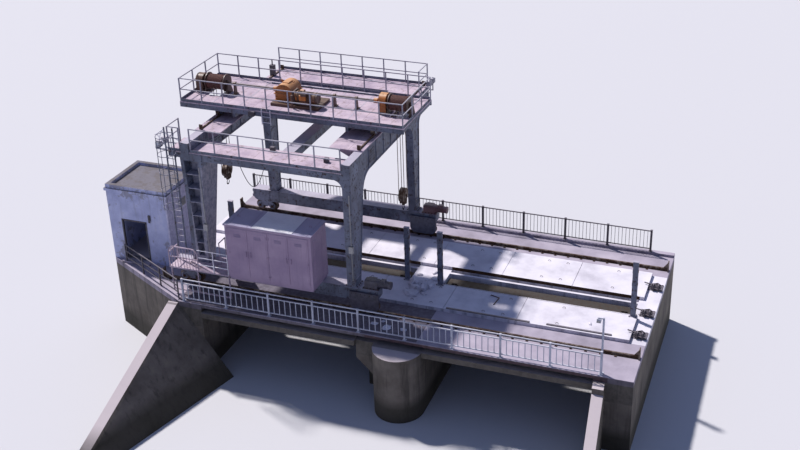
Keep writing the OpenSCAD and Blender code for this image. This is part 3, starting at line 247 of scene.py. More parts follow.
def limewash(name):
    """Limewash on render: bluish white, rubbed off in patches low down, grey runs under the parapet."""
    material, place = start_material(name)
    colour = ramp(noise(place, 700, 7, 0.65), (0.3, "#a3a8cc"), (0.55, "#bdc2e2"), (0.75, "#d2d4ea"))
    ends = maths("MAXIMUM", rest_of(height(place, 3.2, 5.6)), height(place, 5.9, 6.8))
    worn = maths("MULTIPLY_ADD", ends, 0.14, noise(place, 420, 8, 0.7))
    worn = ramp(worn, (0.635, 0.0), (0.67, 1.0))
    colour = mix(times(worn, 0.55), colour, "#7d7674")
    runs = ramp(noise(place, 150, 4, 0.6, 0.07), (0.52, 0.0), (0.72, 1.0))
    colour = mix(times(times(runs, height(place, 4.0, 6.9)), 0.55), colour, "#7f8091")
    colour = mix(times(upward(place), 0.85), colour, "#5f5855")
    level = maths("MULTIPLY_ADD", worn, -0.6, noise(place, 40, 5, 0.7))
    return dress(material, colour, 0.9, level, 0.4, 5)


def chequer_plate(name, paint, shade, rust):
    """Painted tread plate with seams between sheets, its checks drawn coarse so that they show."""
    material, place = start_material(name, 0.0, 1.5)
    spots = noise(place, 220, 8, 0.7)
    worn = times(ramp(spots, (0.54, 0.0), (0.66, 1.0)), 0.75)
    colour = mix(worn, ramp(noise(place, 800, 7, 0.62), (0.3, shade), (0.6, paint)), rust)
    seam = maths("LESS_THAN", maths("FRACT", times(along(place, "X"), 1 / 1.25)), 0.016)
    colour = mix(times(seam, 0.55), colour, rust)
    checks = add(place.id_data, "ShaderNodeTexChecker", {"Vector": place, "Scale": 16.0}).outputs["Fac"]
    level = maths("ADD", maths("SUBTRACT", times(checks, 0.2), seam), times(spots, 0.4))
    return dress(material, colour, 0.75, level, 0.3, 3)


def plain(name, colour, shade, size_mm=60, rough=0.6, metallic=0.0, depth_mm=1.0):
    """Small fitting's finish: two close tones and a fine surface."""
    material, place = start_material(name, metallic)
    tone = noise(place, size_mm, 5, 0.6)
    return dress(material, ramp(tone, (0.35, shade), (0.65, colour)), rough, tone, 0.3, depth_mm)


def make_finishes(look):
    """All finishes by the key that pieces use."""
    concrete, slabs, crane, machine, gates = (
        "#%02x%02x%02x" % tuple(round(c * 255) for c in getattr(look, key))
        for key in ("concrete", "slabs", "crane", "machine", "gates"))
    made = {
        # Mass concrete poured in boards, stained by run-off, pale on top from weathering and painted
        # sunlight, and dark low down from wet and painted shade
        "mass": cast_concrete(
            "cast_concrete_weathered", f"#82796f {concrete} #453f3a #262423", 450, 0.9, "#cdc2c6"),
        # Walkway concrete, sun-bleached and trodden
        "walk": cast_concrete("cast_concrete_bleached", "#bbb2be #978f9f #5f5968 #3f3b42"),
        # Precast cover slabs, the palest concrete
        "slabs": cast_concrete("precast_concrete_pale", f"#eae6ee {slabs} #928e9c #6d6c78"),
        # Limewashed render of the control building
        "limewash": limewash("limewash_on_render"),
        # Roofing felt, grey with dust
        "felt": plain("roofing_felt_dusty", "#6d6768", "#4e4a4e", 350, 0.95, 0.0, 6),
        # Slate-blue crane paint with rust streaks, its pale tops dust and painted sunlight
        "crane": painted_steel("oil_paint_slate_blue", f"{crane} #454b5d #3f3335 #bdb6c4", 0.54, 0.55),
        # Tread plate of the crane's decks, pink-grey with dust
        "deck_plate": chequer_plate("tread_plate_painted", "#c0afbb", "#96869a", "#75605f"),
        # Guard rails, thin grey paint
        "guard": painted_steel("oil_paint_pale_grey", "#a7a6b3 #84828f #5b4844 #b5b0ba", 0.6),
        # Deck railing, faded blue-grey
        "railing": painted_steel("oil_paint_blue_grey", "#bcc1d0 #9398aa #5f4b45 #c6c4cd", 0.6),
        # Upstream railing, nearly black
        "dark_rail": painted_steel("oil_paint_charcoal", "#4a4650 #35323b #4a342c #6f6873", 0.6),
        # Switch cabin, grey-mauve enamel that has chalked
        "cabin": painted_steel("enamel_mauve_chalked", "#a48fa8 #8f7b98 #6f6078 #b4b2cc", 0.68, 0.3, 0.6),
        # Hoist machinery, orange enamel under grease, its cream tops dust and painted sunlight
        "machine": painted_steel(
            "enamel_orange_greasy", f"{machine} #8f5120 #3b2620 #cfa67c", 0.57, 0.4, 0.45, 0.55),
        # Motors and dark gear, brown-black
        "dark_gear": painted_steel(
            "enamel_brown_greasy", "#5b4139 #3a2a29 #241b1a #84736f", 0.6, 0.3, 0.45, 0.5),
        # Travel drives, dull maroon
        "drive": painted_steel("enamel_maroon_dull", "#6e4c52 #513a43 #33262a #94858d", 0.6, 0.3, 0.5, 0.5),
        # Rails, wheels and hook blocks, rust-brown rolled steel
        "steel": bare_steel("rolled_steel_worn", "#7d746f", "#4d3a31", 0.45, 0.45),
        # Clips, bolts and forged hooks, rusted dark
        "rust": bare_steel("rolled_steel_rusted", "#5a4a43", "#3f2c25", 0.4, 0.7),
        # Gate leaves, bitumen paint gone to rust
        "gates": painted_steel(
            "bitumen_paint_rusted", f"{gates} #1f1917 #3a281f #2f2a28", 0.5, 0.5, 0.7, 0.4),
        # Hoist ropes, greased strands
        "rope": plain("wire_rope_greased", "#70463f", "#43292a", 45, 0.65),
        # Black rubber of seals, buffers and cables
        "rubber": plain("rubber_black", "#26262a", "#1b1b1e", 40, 0.7),
        # Floodlight glass
        "glass": plain("floodlight_glass", "#c8ccd4", "#aeb4bf", 120, 0.12),
        # Galvanised fittings
        "zinc": plain("steel_galvanised", "#9a9ba1", "#7f8087", 50, 0.45, 0.7),
        # White oil paint on small steelwork, and on the pale sheet on the cabin's roof that is painted
        # sunlight
        "white": painted_steel("oil_paint_white", "#f0eef4 #c9c6d2 #6b5f5c #f4f2f6", 0.66, 0.3),
    }
    # Footway darkened where the crane stands over it, painted shade; its kerb face darker as painted shade,
    # reddish with rust to the right
    kerb = ("Y", -5.4, -5.04)
    tinted(
        made["walk"],
        ((("X", -9.6, 1.2), ("Y", -5.1, -2.5), ("Z", 3.2, 3.5)), "#5c5765", "#2f2c38", 0.8),
        ((kerb, ("Z", 2.5, 3.385)), "#4d4950", "#2c2a30", 0.7),
        ((("X", -1.0, 9.0), kerb, ("Z", 2.5, 3.37)), "#4b3238", "#2e2025", 0.8))
    # Side wall of the building brighter: paler limewash, and painted light on a wall the sun leaves in shade
    tinted(made["limewash"], ((("X", -11.27, -11.0), ("Z", 3.4, 6.9)), "#dcd8e8", "#a8a3bb", 0.65))
    # Deck edge beam under the footway darkened: painted shade under the footway's edge
    tinted(made["mass"], ((("Y", -5.3, -4.6), ("Z", 2.3, 3.3)), "#5a5652", "#3a3836", 0.6))
    # Inner face of the left frame's leg paler: faded paint, and painted light on a face the sun leaves in
    # shade
    leg = (("X", -9.199, -8.3), ("Y", -4.0, -2.4), ("Z", 4.6, 9.2))
    tinted(made["crane"], (leg, "#a7a5b4", "#6f7083", 0.75))
    # Bare line shafts, dark base plate, end gearbox and motor of the hoist
    shaft = (("Y", 0.09, 0.21), ("Z", 11.32, 11.44))
    tinted(
        made["machine"],
        ((*shaft, ("X", -9.2, -7.05)), "#6f6468", "#4d4145", 1.0),
        ((*shaft, ("X", -5.72, -2.3)), "#6f6468", "#4d4145", 1.0),
        ((("Z", 10.85, 11.03),), "#4a3a36", "#33292a", 0.9),
        ((("X", -10.7, -10.2),), "#54403a", "#332a2b", 0.9),
        ((("X", -5.72, -4.8), ("Y", -0.52, -0.02), ("Z", 11.03, 11.6)), "#5a4238", "#3a2c2a", 0.85))
    # Travel drives slate grey, the front one whole and darker, the rear one at its foot
    tinted(
        made["drive"],
        ((("Y", -4.2, -3.2), ("Z", 3.0, 5.4)), "#4b4d5e", "#30303d", 0.9),
        ((("Y", 3.0, 4.0), ("Z", 3.0, 4.56)), "#565a6b", "#3b3e4d", 0.95))
    return made


FINISH = {}

NODE_FINISH = {
    "mass": "left_abutment centre_pier right_abutment left_wing_wall right_wing_wall house_foundation "
            "deck_beams",
    "walk": "footway rear_walkway",
    "slabs": "cover_slabs slot_beam",
    "limewash": "house_front_wall house_walls house_roof",
    "crane": "left_portal_frame right_portal_frame crossbeams sill_beams travel_bogies trolley_frame "
             "gate_guides",
    "deck_plate": "gantry_platforms trolley_deck cabin_landing",
    "guard": "gantry_railings trolley_railing gantry_lamps",
    "railing": "front_railing lamp_post",
    "dark_rail": "rear_railing bank_handrail gate_latches",
    "cabin": "switch_cabin",
    "machine": "hoist_drive",
    "dark_gear": "hoist_drums",
    "drive": "travel_drives",
    "steel": "crane_rails travel_wheels trolley_rails trolley_wheels hoist_hooks",
    "gates": "left_gate right_gate left_gate_rollers right_gate_rollers",
}


# Modelling

def fresh():
    """Nothing selected, in object mode."""
    if bpy.context.object and bpy.context.object.mode != "OBJECT":
        bpy.ops.object.mode_set(mode="OBJECT")
    bpy.ops.object.select_all(action="DESELECT")


def settle():
    """Put the active piece's place into its mesh."""
    bpy.ops.object.transform_apply(location=True, rotation=True, scale=True)
    return bpy.context.object


def bevelled(piece, width):
    """Bevel every edge sharper than 35 degrees and apply it."""
    bpy.context.view_layer.objects.active = piece
    bevel = piece.modifiers.new("edge", "BEVEL")
    bevel.width = width
    bevel.segments = 1
    bevel.limit_method = "ANGLE"
    bevel.angle_limit = math.radians(35)
    bpy.ops.object.modifier_apply(modifier=bevel.name)
    return piece


def slab(start, end, edge=EDGE):
    """Bevelled block between two opposite corners."""
    fresh()
    low, high = (Vector(corner) for corner in zip(*map(sorted, zip(start, end))))
    bpy.ops.mesh.primitive_cube_add(size=1, location=(low + high) / 2)
    bpy.context.object.scale = high - low
    return bevelled(settle(), edge)


def pad(x, y, z, wide, deep, tall, edge=EDGE):
    """Bevelled block that stands on height z, centred on x and y."""
    return slab((x - wide / 2, y - deep / 2, z), (x + wide / 2, y + deep / 2, z + tall), edge)


def slabs(edge, *corners):
    """Bevelled blocks with one width of edge, each given as x, y, z, x, y, z."""
    return [slab(c[:3], c[3:], edge) for c in corners]


def rod(start, end, radius, sides=12, edge=0.0):
    """Round bar from one point to another."""
    fresh()
    start, end = Vector(start), Vector(end)
    bpy.ops.mesh.primitive_cylinder_add(
        vertices=sides, radius=radius, depth=(end - start).length, location=(start + end) / 2)
    bpy.context.object.rotation_euler = (end - start).to_track_quat("Z", "Y").to_euler()
    piece = settle()
    return bevelled(piece, edge) if edge else piece


def disc(place, axis, thick, radius, sides=12, edge=0.0):
    """Round plate or boss that stands out from a place along an axis."""
    return rod(place, [a + b * thick for a, b in zip(place, axis)], radius, sides, edge)


def ring(place, axis, major, minor, turns=28, sides=8):
    """Torus about an axis through a place."""
    fresh()
    bpy.ops.mesh.primitive_torus_add(
        major_segments=turns, minor_segments=sides, major_radius=major, minor_radius=minor, location=place)
    bpy.context.object.rotation_euler = Vector(axis).to_track_quat("Z", "Y").to_euler()
    return settle()


def inset(piece, facing, width, depth):
    """Inset the faces that look along an axis, and sink them by depth."""
    fresh()
    bpy.context.view_layer.objects.active = piece
    piece.select_set(True)
    bpy.ops.object.mode_set(mode="EDIT")
    bpy.ops.mesh.select_mode(type="FACE")
    bpy.ops.mesh.select_all(action="DESELECT")
    bpy.ops.object.mode_set(mode="OBJECT")
    for face in piece.data.polygons:
        face.select = face.normal.dot(Vector(facing)) > 0.9
    bpy.ops.object.mode_set(mode="EDIT")
    bpy.ops.mesh.inset(thickness=width, depth=-depth)
    bpy.ops.object.mode_set(mode="OBJECT")
    return piece


def opened():
    """Edit the active piece, with all of it selected."""
    bpy.ops.object.mode_set(mode="EDIT")
    bpy.ops.mesh.select_all(action="SELECT")


def sealed():
    """Merge doubled vertices of the opened piece, turn its normals out and leave edit mode."""
    bpy.ops.mesh.select_all(action="SELECT")
    bpy.ops.mesh.remove_doubles(threshold=0.0005)
    bpy.ops.mesh.normals_make_consistent(inside=False)
    bpy.ops.object.mode_set(mode="OBJECT")
    return bpy.context.object


def upright_plate(points, start, thick):
    """Plate across the x axis, cut to an outline of (y, z) points."""
    fresh()
    bpy.ops.mesh.primitive_circle_add(vertices=len(points), radius=1, fill_type="NGON")
    for vertex, (y, z) in zip(bpy.context.object.data.vertices, points):
        vertex.co = (start, y, z)
    opened()
    bpy.ops.mesh.extrude_region_move(TRANSFORM_OT_translate={"value": (thick, 0, 0)})
    return bevelled(sealed(), EDGE)


def row(piece, count, step):
    """Repeat a piece along a step, as one mesh."""
    bpy.context.view_layer.objects.active = piece
    array = piece.modifiers.new("row", "ARRAY")
    array.count = count
    array.use_relative_offset = False
    array.use_constant_offset = True
    array.constant_offset_displace = step
    bpy.ops.object.modifier_apply(modifier=array.name)
    return piece


def joined(pieces):
    """One piece out of several."""
    fresh()
    for piece in pieces:
        piece.select_set(True)
    bpy.context.view_layer.objects.active = pieces[0]
    settle()
    if len(pieces) > 1:
        bpy.ops.object.join()
    return bpy.context.object


def finished(pieces, name, body, finish, smooth=30):
    """Join, name, shade, paint and hang a piece on its body."""
    piece = joined(pieces)
    piece.name = name
    piece.data.name = name
    bpy.ops.object.shade_smooth_by_angle(angle=math.radians(smooth))
    piece.data.materials.clear()
    piece.data.materials.append(FINISH[finish])
    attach(piece, body)


def bolt(place, axis, size=0.024, tall=0.016):
    """Hexagon bolt head with a washer, standing out along the axis."""
    place, axis = Vector(place), Vector(axis)
    washer = rod(place, place + axis * tall * 0.25, size * 0.95, 12)
    head = rod(place + axis * tall * 0.2, place + axis * tall, size * 0.75, 6, 0.002)
    return joined([washer, head])


def bolt_circle(place, axis, radius, count, turn, size, tall):
    """Bolts round a place, which stand out along the x or y axis; turn is in degrees."""
    x, y, z = place
    made = []
    for k in range(count):
        a = math.radians(360 / count * k + turn)
        u, v = radius * math.cos(a), radius * math.sin(a)
        made.append(bolt((x, y + u, z + v) if axis[0] else (x + u, y, z + v), axis, size, tall))
    return made


# Properties

class SluiceSizes(bpy.types.PropertyGroup):
    """Sizes of the fittings."""
    clip_pitch: bpy.props.FloatProperty(
        name="Rail clip pitch", description="Distance between clips along a crane rail",
        default=0.6, min=0.3, max=1.5, unit="LENGTH", subtype="DISTANCE")
    rope_pitch: bpy.props.FloatProperty(
        name="Rope pitch", description="Distance between turns of rope on a hoist drum",
        default=0.032, min=0.03, max=0.06, unit="LENGTH", subtype="DISTANCE")
    toe_height: bpy.props.FloatProperty(
        name="Toe board height", description="Height of the kick plate round the crane's decks",
        default=0.12, min=0.05, max=0.2, unit="LENGTH", subtype="DISTANCE")
    rung_pitch: bpy.props.FloatProperty(
        name="Rung pitch", description="Distance between ladder rungs",
        default=0.3, min=0.25, max=0.35, unit="LENGTH", subtype="DISTANCE")


class SluiceLook(bpy.types.PropertyGroup):
    """Main colours of the finishes, as sRGB."""
    concrete: bpy.props.FloatVectorProperty(
        name="Concrete", description="Mass concrete of the piers and walls",
        default=(0.40, 0.375, 0.355), min=0.0, max=1.0, subtype="COLOR_GAMMA")
    slabs: bpy.props.FloatVectorProperty(
        name="Cover slabs", description="Precast slabs on the deck",
        default=(0.81, 0.795, 0.83), min=0.0, max=1.0, subtype="COLOR_GAMMA")
    crane: bpy.props.FloatVectorProperty(
        name="Crane paint", description="Paint of the gantry and its trolley",
        default=(0.435, 0.463, 0.545), min=0.0, max=1.0, subtype="COLOR_GAMMA")
    machine: bpy.props.FloatVectorProperty(
        name="Hoist paint", description="Paint of the hoist's gearboxes",
        default=(0.80, 0.47, 0.19), min=0.0, max=1.0, subtype="COLOR_GAMMA")
    gates: bpy.props.FloatVectorProperty(
        name="Gate coating", description="Coating of the gate leaves",
        default=(0.17, 0.14, 0.13), min=0.0, max=1.0, subtype="COLOR_GAMMA")


# Operators

class SLUICE_OT_stage(bpy.types.Operator):
    """Floor, sky, sun and camera."""
    bl_idname = "sluice.stage"
    bl_label = "Stage"

    def execute(self, context):
        scene = context.scene
        scene.view_settings.view_transform = "Standard"
        fresh()
        bpy.ops.mesh.primitive_plane_add(size=400, location=(0, 0, -0.002))
        floor = bpy.context.object
        floor.name = "floor"
        floor.data.materials.append(dress(start_material("floor_plain_pale")[0], "#c9c9cc", 0.95))

        # The sky lights the object in blue and shows the camera a pale background
        world = bpy.data.worlds.new("sky")
        scene.world = world
        world.use_nodes = True
        tree = world.node_tree
        tree.nodes.clear()
        path = add(tree, "ShaderNodeLightPath").outputs
        mirrored = maths("MAXIMUM", path["Is Glossy Ray"], path["Is Transmission Ray"])
        seen = maths("MAXIMUM", path["Is Camera Ray"], mirrored)
        light = add(tree, "ShaderNodeBackground", {"Color": "#9db3ee", "Strength": 0.38})
        pale = add(tree, "ShaderNodeBackground", {"Color": "#e6e7ea", "Strength": 1.0})
        both = add(tree, "ShaderNodeMixShader", {0: seen, 1: light.outputs[0], 2: pale.outputs[0]})
        add(tree, "ShaderNodeOutputWorld", {"Surface": both.outputs[0]})

        fresh()
        bpy.ops.object.light_add(type="SUN", location=(-10, 5, 20))
        sun = bpy.context.object
        sun.name = "sun"
        sun.data.energy = SUN_STRENGTH
        sun.data.angle = math.radians(SUN_WIDTH)
        sun.data.color = (1.0, 0.95, 0.93)
        sun.rotation_euler = Vector(SUN_FROM).to_track_quat("Z", "Y").to_euler()

        bpy.ops.object.camera_add(location=CAMERA_PLACE)
        camera = bpy.context.object
        camera.name = "photo_camera"
        camera.rotation_euler = (math.radians(CAMERA_TILT), 0.0, math.radians(CAMERA_TURN))
        camera.data.lens = CAMERA_LENS
        camera.data.sensor_width = 36.0
        camera.data.shift_x, camera.data.shift_y = CAMERA_SHIFT
        camera.data.clip_end = 500
        scene.camera = camera
        return {"FINISHED"}


class SLUICE_OT_finishes(bpy.types.Operator):
    """Make the finishes and put them on the CAD nodes."""
    bl_idname = "sluice.finishes"
    bl_label = "Finishes"

    def execute(self, context):
        FINISH.update(make_finishes(context.scene.sluice_look))
        for key, nodes in NODE_FINISH.items():
            for node in nodes.split():
                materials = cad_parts[node].data.materials
                for i in range(len(materials)):
                    materials[i] = FINISH[key]
        return {"FINISHED"}


class SLUICE_OT_hoist_ropes(bpy.types.Operator):
    """Rope wound on the hoist drums."""
    bl_idname = "sluice.hoist_ropes"
    bl_label = "Hoist ropes"

    def execute(self, context):
        pitch, margin = context.scene.sluice_sizes.rope_pitch, 0.07
        for side, x in DRUM_X.items():
            turn = ring((x + margin, SHAFT_Y, SHAFT_Z), ALONG, 0.314, 0.0145, 36, 8)
            coil = row(turn, int((DRUM_L - 2 * margin) / pitch), (pitch, 0, 0))
            finished([coil], side + "_drum_rope", "trolley", "rope")
        return {"FINISHED"}


class SLUICE_OT_hooks(bpy.types.Operator):
    """Pins, bolts and forged hooks of the hook blocks."""
    bl_idname = "sluice.hooks"
    bl_label = "Hooks"

    def execute(self, context):
        for side, drum in DRUM_X.items():
            x, y = drum + DRUM_L / 2, SHAFT_Y
            parts = []
            for s in SIDES:
                cheek = x + s * 0.14
                parts.append(disc((cheek, y, HOOK_Z), (s, 0, 0), 0.035, 0.07, 6, 0.006))
                for dy, dz in ((-0.1, -0.14), (0.1, -0.14), (0.0, -0.26)):
                    parts.append(bolt((cheek, y + dy, HOOK_Z + dz), (s, 0, 0), 0.03, 0.02))
            parts.append(disc((x, y, HOOK_Z - 0.49), UP, 0.02, 0.05, 12, 0.004))
            # The hook is a round section spun about the x axis
            fresh()
            bpy.ops.mesh.primitive_circle_add(
                vertices=12, radius=0.032, fill_type="NGON",
                location=(x, y + 0.1, HOOK_Z - 0.6), rotation=(math.radians(90), 0, math.radians(90)))
            settle()
            opened()
            bpy.ops.mesh.spin(steps=18, angle=math.radians(230), center=(x, y, HOOK_Z - 0.6), axis=ALONG)
            parts.append(sealed())
            finished(parts, side + "_block_hook", "trolley", "rust")
        return {"FINISHED"}


class SLUICE_OT_hoist_fittings(bpy.types.Operator):
    """Motor ribs, brake, gearbox flange, bolts, shaft bearings and cable trunk of the hoist."""
    bl_idname = "sluice.hoist_fittings"
    bl_label = "Hoist fittings"

    def execute(self, context):
        x, y, z = -5.6, MOTOR_Y, MOTOR_Z
        ribs = row(disc((x, y, z), ALONG, 0.015, 0.252, 32, 0.003), 15, (0.042, 0, 0))
        cowl = inset(disc((x + 0.76, y, z), ALONG, 0.1, 0.235, 32, 0.02), ALONG, 0.05, 0.02)
        box = slab((x + 0.18, y - 0.36, z + 0.16), (x + 0.44, y - 0.1, z + 0.3), 0.012)
        finished([ribs, cowl, box], "hoist_motor_ribs", "trolley", "dark_gear")

        # Brake drum between two shoe arms, a top bar and a thruster beside it
        x, foot, head = -5.86, CRAB_TOP + 0.12, CRAB_TOP + 0.66
        brake = [disc((x, y, z), ALONG, 0.1, 0.17, 28, 0.008)]
        brake += [pad(x + 0.05, y + s * 0.21, foot, 0.12, 0.06, head - foot, 0.012) for s in SIDES]
        brake.append(pad(x + 0.05, y, head, 0.08, 0.52, 0.05, 0.01))
        brake.append(disc((x + 0.05, y - 0.36, foot), UP, 0.48, 0.05, 16, 0.008))
        finished(brake, "hoist_brake", "trolley", "dark_gear")

        y, split, top = SHAFT_Y, CRAB_TOP + 0.475, CRAB_TOP + 0.88
        box = [
            pad(-6.35, y, split - 0.035, 0.9, 0.98, 0.035, 0.008),
            pad(-6.35, y, top - 0.01, 0.3, 0.4, 0.035, 0.01),
        ]
        box += [row(bolt((-6.72, y + s * 0.47, split), UP, 0.03, 0.03), 6, (0.148, 0, 0)) for s in SIDES]
        box += [ring((x, y, top + 0.02), (0, 1, 0), 0.045, 0.014, 16, 8) for x in (-6.62, -6.08)]
        box += [disc((x, y, SHAFT_Z), ALONG, 0.06, 0.15, 24, 0.01) for x in (-6.84, -5.96)]
        finished(box, "hoist_gearbox_fittings", "trolley", "machine")

        bolts = []
        for x in (-7.01, -5.75, -2.39):
            bolts += bolt_circle((x - 0.006, y, SHAFT_Z), (-1, 0, 0), 0.085, 6, 15, 0.02, 0.016)
        for x in DRUM_X.values():
            bolts += bolt_circle((x - 0.001, y, SHAFT_Z), (-1, 0, 0), 0.33, 8, 22, 0.024, 0.018)
            for dx in (-0.055, DRUM_L + 0.055):
                bolts += [bolt((x + dx, y + s * 0.22, CRAB_TOP + 0.06), UP, 0.03, 0.03) for s in SIDES]
        finished(bolts, "hoist_bolts", "trolley", "rust")

        bearings = []
        foot = CRAB_TOP + 0.02
        web = ((y - 0.13, foot), (y + 0.13, foot), (y + 0.07, SHAFT_Z), (y - 0.07, SHAFT_Z))
        for x in (-8.9, -4.2, -3.2):
            bearings.append(pad(x, y, CRAB_TOP, 0.18, 0.32, 0.03))
            bearings.append(upright_plate(web, x - 0.03, 0.06))
            bearings.append(disc((x - 0.06, y, SHAFT_Z), ALONG, 0.12, 0.085, 20, 0.01))
        finished(bearings, "line_shaft_bearings", "trolley", "dark_gear")

        trunk = slab((-8.0, 1.78, CRAB_TOP), (-2.4, 1.86, CRAB_TOP + 0.06))
        lids = row(pad(-7.88, 1.82, CRAB_TOP + 0.055, 0.04, 0.1, 0.011, 0.002), 7, (0.9, 0, 0))
        finished([trunk, lids], "trolley_cable_trunk", "trolley", "crane")
        return {"FINISHED"}


class SLUICE_OT_toe_boards(bpy.types.Operator):
    """Kick plates round the trolley deck and the gantry's walks."""
    bl_idname = "sluice.toe_boards"
    bl_label = "Toe boards"

    def execute(self, context):
        tall, thin = context.scene.sluice_sizes.toe_height, 0.008
        (x0, x1), (y0, y1), z = (-10.78, -0.57), (-1.28, 2.08), CRAB_TOP
        crab = slabs(
            0.001,
            (x0, y0, z, x1, y0 + thin, z + tall), (x0, y1 - thin, z, x1, y1, z + tall),
            (x0, y0, z, x0 + thin, y1, z + tall), (x1 - thin, y0, z, x1, y1, z + tall))
        finished(crab, "trolley_toe_boards", "trolley", "crane")
        y0, z = -3.81, PLATFORM_Z
        walk = slabs(
            0.001,
            (-8.98, y0, z, -2.25, y0 + thin, z + tall), (-9.99, y0, z, -9.4, y0 + thin, z + tall),
            (-9.3, 5.32, WALK_Z, -1.92, 5.32 + thin, WALK_Z + tall))
        finished(walk, "gantry_toe_boards", "gantry", "crane")
        strip = slab((-9.4, -1.25, CRAB_TOP), (-9.36, 2.05, CRAB_TOP + 0.006), 0.001)
        finished([row(strip, 7, (1.25, 0, 0))], "trolley_deck_strips", "trolley", "crane")
        return {"FINISHED"}


class SLUICE_OT_frame_stiffeners(bpy.types.Operator):
    """Web stiffeners, splice plates, base flanges and bolts of the two portal frames."""
    bl_idname = "sluice.frame_stiffeners"
    bl_label = "Frame stiffeners"

    def execute(self, context):
        thin = 0.014
        for name, x in FRAME_X.items():
            ribs, bolts = [], []
            for s in SIDES:
                web, lip, splice = x + s * 0.15, x + s * 0.182, x + s * 0.162
                rib = slab((web, -1.9, 9.235), (lip, -1.9 + thin, 10.165), 0.001)
                ribs.append(row(rib, 8, (0, 0.82, 0)))
                for y in (-1.49, 2.61):
                    ribs.append(slab((web, y - 0.26, 9.4), (splice, y + 0.26, 10.0), 0.002))
                    for dy in (-0.19, -0.07, 0.07, 0.19):
                        head = bolt((splice, y + dy, 9.46), (s, 0, 0), 0.026, 0.016)
                        bolts.append(row(head, 5, (0, 0, 0.12)))
                rib = slab((web, 3.4, 5.2), (lip, 3.72, 5.2 + thin), 0.001)
                ribs.append(row(rib, 4, (0, -0.02, 0.9)))
            for y0, y1 in ((-3.85, -3.25), (3.3, 3.8)):
                wide = 0.34 if name == "left" and y0 < 0 else 0.31
                ribs.append(slab((x - wide, y0 - 0.04, SILL_Z), (x + wide, y1 + 0.04, SILL_Z + 0.03), 0.004))
                for s in SIDES:
                    head = bolt((x + s * 0.25, y0 + 0.06, SILL_Z + 0.03), UP, 0.034, 0.035)
                    bolts.append(row(head, 4, (0, (y1 - y0 - 0.12) / 3, 0)))
            finished(ribs, name + "_frame_ribs", "gantry", "crane")
            finished(bolts, name + "_frame_bolts", "gantry", "rust")
        return {"FINISHED"}


class SLUICE_OT_travel_fittings(bpy.types.Operator):
    """Motor ribs, buffers, axle caps and guard bolts of the travel gear."""
    bl_idname = "sluice.travel_fittings"
    bl_label = "Travel gear fittings"

    def execute(self, context):
        for name, y in zip(("front", "rear"), RAIL_Y):
            z = SILL_Z + 0.2
            ribs = row(disc((-0.88, y, z), ALONG, 0.012, 0.166, 28, 0.002), 9, (0.038, 0, 0))
            cowl = inset(disc((-0.5, y, z), ALONG, 0.088, 0.168, 28, 0.015), ALONG, 0.04, 0.015)
            lid = pad(-1.24, y, SILL_Z + 0.378, 0.36, 0.32, 0.022)
            finished([ribs, cowl, lid], name + "_drive_ribs", "gantry", "drive")
            bolts = []
            for s in SIDES:
                head = bolt((-1.55, y + s * 0.22, SILL_Z + 0.025), UP, 0.028, 0.028)
                bolts.append(row(head, 5, (0.15, 0, 0)))
                for x in (pair + dx for pair in WHEEL_X for dx in (-0.32, 0.32)):
                    bolts.append(disc((x, y + s * 0.2, AXLE_Z), (0, s, 0), 0.025, 0.07, 16, 0.006))
                    bolts += bolt_circle((x, y + s * 0.18, AXLE_Z), (0, s, 0), 0.1, 4, 45, 0.02, 0.014)
            guard = bolt((-2.05, y - 0.3503, 4.42), FRONT, 0.024, 0.016)
            bolts.append(row(guard, 6, (0.2, 0, 0)))
            finished(bolts, name + "_travel_bolts", "gantry", "rust")
            z = SILL_Z - 0.2
            buffers = [
                disc((-10.3, y, z), (-1, 0, 0), 0.06, 0.1, 20, 0.012),
                disc((-10.36, y, z), (-1, 0, 0), 0.08, 0.075, 20, 0.02),
            ]
            finished(buffers, name + "_buffer", "gantry", "rubber")
        return {"FINISHED"}


